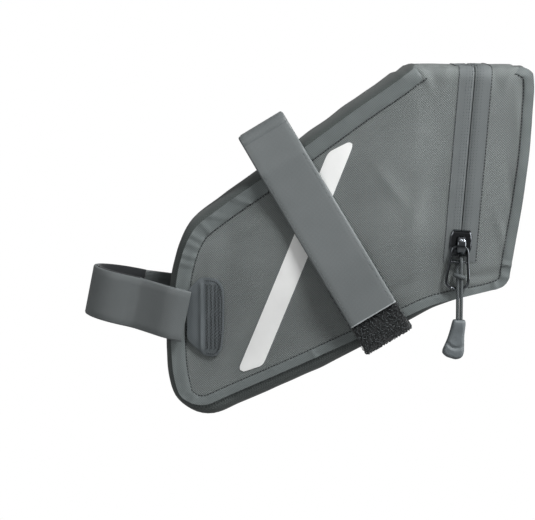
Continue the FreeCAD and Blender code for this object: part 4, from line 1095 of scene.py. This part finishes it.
BEADS, RUBBED = (2600.0,), (60.0, 5.0)
reflective = solid_finish("reflective_cloth", grey(232, 233, 232), grey(248, 249, 248), RUBBED, RUBBED,
                          (0.35, 0.6), (BEADS, 0.00003))
strip_loop = [(54.9, -28.6), (56.0, -30.9), (65.9, -27.4), (67.4, -25.2), (109.2, 79.0), (109.4, 81.2),
              (107.6, 81.8), (98.6, 77.2), (97.0, 75.0)]
strip_loop = even(soften(strip_loop + strip_loop[:2], 1.4)[9:], 1.4)[:-1]
for side_name, side in (("left", -1), ("right", 1)):
    flat, faces = cut_cloth(strip_loop, 2.0)
    rim = from_rim(flat, strip_loop)
    outer = drape(flat, 0.35 + 0.2 * smooth(rim, 0, 0.8), side)
    inner = drape(flat, 0.02, side)
    piece = thick_sheet(f"{side_name}_reflective_cloth", flat, faces, outer, inner, reflective, right=side > 0)
    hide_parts(f"{side_name}_reflective_strip")
    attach(piece, "bag")

# ---- Rail straps ----
# Smooth coated webbing. A loop is sewn to the slope and goes over each saddle rail,
# and its long leg lies down the side to the belly strap, which its hook pad grips.

WEBBING_PITCH = 0.8
STRAP_WIDE, WEBBING = 25.0, 1.6
coated_webbing = woven_finish("coated_webbing", grey(82, 87, 88), grey(122, 127, 128), WEBBING_PITCH,
                              (0.36, 0.5), 0.00002, grain_depth=0.00002)
# A much lighter finish, used only on the thin slab at each leg's end: a painted highlight along the strap's cut
# end.
strap_end_highlight = woven_finish("strap_end_highlight", grey(132, 137, 139), grey(176, 181, 183), WEBBING_PITCH,
                           (0.4, 0.6), 0.00003)
RAIL_LEAN = math.radians(-31)
RAIL_X, RAIL_Z, RAIL_OUT = 67.7, 85.65, 22
LOOP = 4.3  # radius of the webbing's middle round a rail
rail_point = leaning_frame(RAIL_LEAN, RAIL_X, RAIL_Z)
across_rail = rail_point(1, 0, 0) - rail_point(0, 0, 0)
down_rail = rail_point(0, 0, -1) - rail_point(0, 0, 0)


def surface_out(along, up):
    """How far out the cloth or the welded band is under a point of the rail strap's frame."""
    x, _, z = rail_point(along, 0, up)
    welded = float(half_width(x)) + 1.5
    return max(float(-drape(np.array([[x, z]]), 0.0, -1)[0, 1]), welded)


for side_name, side in (("left", -1), ("right", 1)):
    leg = [(26.4, -0.6), (28.2, -6)]
    for up in np.arange(-16, -99.5, -4):
        widest = max(surface_out(a, up) for a in (-12, -6, 0, 6, 12))
        leg.append((widest + 1.0 + 2.6 * float(smooth(np.array(-up), 40, 78)), up))
    leg.append((leg[-1][0] + 0.05, -100.0))
    leg = even(soften(leg, 3.0), 1.6)
    line = np.stack([side * leg[:, 0], leg[:, 1]], axis=1)
    centres, acrosses, normals = strap_rows(line, rail_point)
    strap_leg = ribbon(f"{side_name}_rail_strap_leg", centres, acrosses, normals, STRAP_WIDE, WEBBING,
                       coated_webbing)
    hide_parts(f"{side_name}_rail_strap")
    start = rail_point(0, side * 26.3, -0.5) / 1000
    end = rail_point(0, side * 28.0, -16.0) / 1000
    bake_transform(strap_leg)
    # The leg's end is a thin slab in the lighter finish: a painted highlight, not a different webbing.
    cut_edge = ribbon(f"{side_name}_rail_strap_cut_end", [centres[-1], centres[-1] + down_rail * 0.55],
                      acrosses[-2:], normals[-2:], STRAP_WIDE, WEBBING + 0.15, strap_end_highlight)
    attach(cut_edge, f"{side_name}_rail_leg")
    hem_lines = []
    for across in (-10.9, 10.9):
        hem_lines.append([c + across_rail * across + n * math.copysign(0.84, n[1] * side)
                          for c, n in zip(centres[12:], normals[12:])])
    hem = stitch_rows(f"{side_name}_rail_strap_stitches", hem_lines, 2.1, 1.2, 0.35, 0.25, coated_webbing)
    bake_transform(hem)

    # The loop goes round the rail and its short leg ends in a tab stitched to the slope.
    turns = [(RAIL_OUT + LOOP * math.cos(a), LOOP * math.sin(a)) for a in np.linspace(-0.2, math.pi + 0.1, 26)]
    foot_up = -20.5
    inner_leg = [(17.7, -3), (17.6, -12), (17.2, foot_up + 2), (15.6, foot_up + 0.2), (7.0, foot_up - 0.2)]
    loop_line = even(soften(turns + inner_leg, 2.0), 0.9)
    line = np.stack([side * loop_line[:, 0], loop_line[:, 1]], axis=1)
    loop = ribbon(f"{side_name}_rail_strap_loop", *strap_rows(line, rail_point), STRAP_WIDE, WEBBING,
                  coated_webbing)
    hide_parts(f"{side_name}_rail_loop")
    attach(loop, "bag")

# ---- Hook-and-loop ----
# A band of woven loop pile goes round the belly under the leg ends, and each leg carries a pad of
# moulded hooks that grips it.

pile_black = woven_finish("pile_black", grey(12, 14, 15), grey(34, 38, 40), 0.7, (0.85, 1.0), 0.0002,
                          sheen=0.3, grain_depth=0.0003)


def pile_tree():
    """Covers a mesh with short curled threads."""
    tree, start = new_group("loop_pile", "GeometryNodeTree",
                            {"Geometry": "Geometry", "Spacing": "Float", "Density": "Float", "Size": "Float",
                             "Material": "Material"}, {"Geometry": "Geometry"})
    spread = node(tree, "GeometryNodeDistributePointsOnFaces",
                  {"Mesh": start.outputs["Geometry"], "Distance Min": start.outputs["Spacing"],
                   "Density Max": start.outputs["Density"], "Seed": 4}, distribute_method="POISSON")
    arc = node(tree, "GeometryNodeCurveArc", {"Resolution": 5, "Radius": 0.5, "Sweep Angle": 4.4})
    ring = node(tree, "GeometryNodeCurvePrimitiveCircle", {"Resolution": 3, "Radius": 0.14})
    thread_mesh = node(tree, "GeometryNodeCurveToMesh",
                       {"Curve": arc.outputs[0], "Profile Curve": ring.outputs[0]})
    upright = node(tree, "GeometryNodeTransform", {"Geometry": thread_mesh.outputs[0],
                                                   "Rotation": (math.pi / 2, 0, 0)})
    turn = node(tree, "FunctionNodeRandomValue", data_type="FLOAT_VECTOR")
    turn.inputs["Min"].default_value = (-0.5, -0.5, 0)
    turn.inputs["Max"].default_value = (0.5, 0.5, 6.28)
    turn.inputs["Seed"].default_value = 11
    spun = node(tree, "FunctionNodeRotateEuler",
                {"Rotation": spread.outputs["Rotation"], "Rotate By": turn.outputs[0]}, space="LOCAL")
    placed = node(tree, "GeometryNodeInstanceOnPoints",
                  {"Points": spread.outputs["Points"], "Instance": upright.outputs[0],
                   "Rotation": spun.outputs[0]})
    sized = node(tree, "ShaderNodeCombineXYZ", {"X": start.outputs["Size"], "Y": start.outputs["Size"],
                                                "Z": start.outputs["Size"]})
    tree.links.new(sized.outputs[0], placed.inputs["Scale"])
    real = node(tree, "GeometryNodeRealizeInstances", {"Geometry": placed.outputs[0]})
    coloured = node(tree, "GeometryNodeSetMaterial", {"Geometry": real.outputs[0],
                                                      "Material": start.outputs["Material"]})
    end = node(tree, "NodeGroupOutput")
    tree.links.new(coloured.outputs[0], end.inputs["Geometry"])
    return tree


loop_pile = pile_tree()
# The pile's threads run from near black to mid grey by a fine noise: the lighter threads are painted glints on the
# black pile.
SHINE_SPECKS = (700.0, 2.0)
pile_fibre_painted_glints = solid_finish("pile_fibre_painted_glints", grey(3, 4, 4), grey(88, 94, 96), SHINE_SPECKS, SHINE_SPECKS, (0.7, 0.95),
                           (SHINE_SPECKS, 0.00002))

belly_half = surface_out(12, -100) + 1.1
right_part = [(belly_half - 2.5, -115.4), (belly_half + 0.6, -109.0), (belly_half, -100), (belly_half - 0.8, -79)]
left_part = [(-out, up) for out, up in right_part[::-1]]
belly_line = even(soften(left_part + [(0, -118.6)] + right_part, 4.5), 1.3)
belly = ribbon("belly_pile_strap", *strap_rows(belly_line, rail_point), STRAP_WIDE, 1.9, pile_black)
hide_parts("belly_strap")
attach(belly, "bag")
belly_fuzz = bpy.data.objects.new("belly_pile", belly.data.copy())
scene.collection.objects.link(belly_fuzz)
run_nodes(belly_fuzz, loop_pile, Spacing=0.0012, Density=2.5e6, Size=0.00145, Material=pile_fibre_painted_glints)
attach(belly_fuzz, "bag")
for side_name, side in (("left", -1), ("right", 1)):
    pad_line = [(side * (surface_out(12, -76) + 1.6), -74.5), (side * (surface_out(12, -98) + 2.3), -98.5)]
    pad = ribbon(f"{side_name}_hook_backing", *strap_rows(even(pad_line, 1.5), rail_point), 23.5, 0.8, pile_black)
    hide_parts(f"{side_name}_hook_pad")
    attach(pad, f"{side_name}_rail_leg")

# ---- Seatpost strap ----
# The same coated webbing with a black lining. It is sewn to a patch on each side of the nose and
# goes round the post, and its free end folds back over the left patch.

POST_LEAN = math.radians(18)
CLIMB = 0.115  # how much the strap rises for each mm that it runs back
BAND_ROUND = 18.3  # radius of the strap's middle round the post
post_point = leaning_frame(POST_LEAN, 0, 0)


def post_rows(line):
    """Centres, across and outward directions for a strap that follows (along, out) points round the post.
    The strap climbs a little on its way back to the patches."""
    centres = [post_point(a, o, 0.8 + CLIMB * (a + 19)) for a, o in line]
    across = post_point(-CLIMB, 0, 1)
    across /= np.linalg.norm(across)
    normals = []
    for along, out in heading(line):
        direction = post_point(out, -along, CLIMB * out)
        normals.append(direction / np.linalg.norm(direction))
    return centres, [across] * len(centres), normals


def arc(radius, start, end, count=40):
    """Points round the post from one angle to another, in degrees. 0 is towards the bag, 90 the right side.
    The strap stands off a little in front of the post."""
    places = [(radius * math.cos(math.radians(a)), radius * math.sin(math.radians(a)))
              for a in np.linspace(start, end, count)]
    return [(along * 1.18 if along < 0 else along, out) for along, out in places]


lining_black = woven_finish("lining_black", grey(26, 28, 30), grey(48, 51, 54), WEBBING_PITCH, (0.8, 0.95),
                            0.00008, sheen=0.2)
lining = ribbon("post_strap_black_lining", *post_rows(arc(16.55, 282, 80)), 25.6, 1.5, lining_black)
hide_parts("post_strap_lining")
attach(lining, "bag")

right_leg = [(3.2, 18.2), (20, 28.6), (30, 28.9), (45, 28.9)]
band_path = even(soften(arc(BAND_ROUND, 181, 92) + right_leg, 4.0), 1.2)
post_band = ribbon("post_strap_front_band", *post_rows(band_path), STRAP_WIDE, WEBBING, coated_webbing)
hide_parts("post_strap_band")
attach(post_band, "bag")

neck_path = even(soften([(2.6, -16.8), (8, -20.2), (20, -28.2), (26, -28.6)], 4.0), 1.2)
left_neck = ribbon("left_post_neck", *post_rows(neck_path), STRAP_WIDE, 1.5, coated_webbing)
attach(left_neck, "bag")

left_leg = [(3.4, -19.0), (9, -22.6), (18, -29.2), (22, -31.0), (28.8, -31.4)]
tail_path = even(soften(arc(BAND_ROUND, 181, 268) + left_leg, 4.0), 1.0)
post_tail = ribbon("post_strap_free_end", *post_rows(tail_path), STRAP_WIDE, WEBBING, coated_webbing)
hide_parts("post_strap_tail")
tuple(post_point(-0.5, -18.4, 0) / 1000)
tuple(post_point(7.5, -21.5, 0) / 1000)
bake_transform(post_tail)

# ---- Strap patches ----
# An upright patch of coated cloth on each side of the nose holds the seatpost strap. It is sewn
# down along its border and by four upright rows of zigzag stitches.

PATCH_MIDDLE = np.array([42.0, -3.2])
patch_corners = [(-12.5, -11.2), (-6.0, -17.4), (-4.6, -18.9), (-1.0, -19.6), (1.5, -19.5), (4.6, -16.5),
                 (5.6, -6), (5.9, 8), (5.4, 15.0), (2.2, 18.6), (-2.0, 19.2), (-6.0, 19.0), (-12.5, 12.6)]
patch_loop = even(soften(patch_corners + patch_corners[:2], 2.6)[9:], 1.1)[:-1]
patch_cloth = woven_finish("patch_cloth", grey(74, 80, 83), grey(101, 107, 110), CLOTH_PITCH, (0.6, 0.8),
                           0.00006, specular=0.35)


def patch_place(flat, out, side):
    """Puts points of the patch's flat pattern on the side of the nose."""
    return drape(np.asarray(flat, float) + PATCH_MIDDLE, out, side)


for side_name, side in (("left", -1), ("right", 1)):
    flat, faces = cut_cloth(patch_loop, 1.0)
    rim = from_rim(flat, patch_loop)
    fold = np.exp(-((flat[:, 0] + 5.6) / 0.75) ** 2) * smooth(18.5 - np.abs(flat[:, 1]), 0, 3)
    cushion = 0.35 * smooth(rim, 0, 0.9) - 0.3 * np.exp(-((rim - 1.5) / 0.4) ** 2) + 1.0 * fold
    cushion = cushion + 0.35 * smooth(-flat[:, 0], 5, 8)
    outer = patch_place(flat, 1.3 + cushion, side)
    inner = patch_place(flat, 0.1, side)
    piece = thick_sheet(f"{side_name}_post_patch", flat, faces, outer, inner, patch_cloth, right=side > 0)
    if side < 0:
        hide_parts("left_post_anchor")
    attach(piece, "bag")
    border = patch_loop[patch_loop[:, 0] > -4.4] * np.array([0.8, 0.93])
    border = border[np.argsort(-np.arctan2(border[:, 1], border[:, 0]))]
    lines = [patch_place(even(border, 0.8), 1.72, side)]
    for column in (-2.6, -0.6, 1.4, 3.2):
        steps = np.linspace(-15.8, 15.8, 41)
        zig = np.stack([column + 0.55 * np.where(np.arange(41) % 2, 1, -1), steps], axis=1)
        lines.append(patch_place(zig, 1.82, side))
    sewn = stitch_rows(f"{side_name}_patch_stitches", lines, 0.95, 0.62, 0.5, 0.45)
    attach(sewn, "bag")

# ---- Light loop ----
# A short band of ribbed webbing across the rear, stitched at both ends, that a light's clip
# slides into.

LIGHT_HEIGHT, LOOP_HALF = 78.0, 7.5
loop_webbing = woven_finish("loop_webbing", grey(70, 75, 78), grey(98, 104, 107), 1.1, (0.6, 0.8), 0.00012)
loop_rows = np.array([(out, 3.1 * (1 - (abs(out) / LOOP_HALF) ** 2.2) + 0.9)
                      for out in np.linspace(-LOOP_HALF, LOOP_HALF, 21)])
rear_at = float(np.interp(LIGHT_HEIGHT, rear_edge[:, 1], rear_edge[:, 0])) + 3.2
light_loop = ribbon("light_loop_webbing", [(rear_at + lift, out, LIGHT_HEIGHT) for out, lift in loop_rows],
                    [(0.053, 0, 0.9986)] * len(loop_rows), [(w[0], -w[1], 0) for w in heading(loop_rows)],
                    13.0, WEBBING, loop_webbing)
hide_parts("light_loop")
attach(light_loop, "cover")

# ---- Stiffeners ----
# Thin polyethylene sheets inside the sides and along the belly, cut flat from stock.
# They keep the bag's shape.

MOTTLE, PEBBLE = (120.0, 5.0), (900.0,)
board = solid_finish("stiffening_board", grey(38, 40, 42), grey(58, 61, 63), MOTTLE, MOTTLE, (0.45, 0.7),
                     (PEBBLE, 0.00004))
for name in ("left_stiffener", "right_stiffener", "base_board"):
    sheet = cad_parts[name].data
    sheet.materials.clear()
    sheet.materials.append(board)
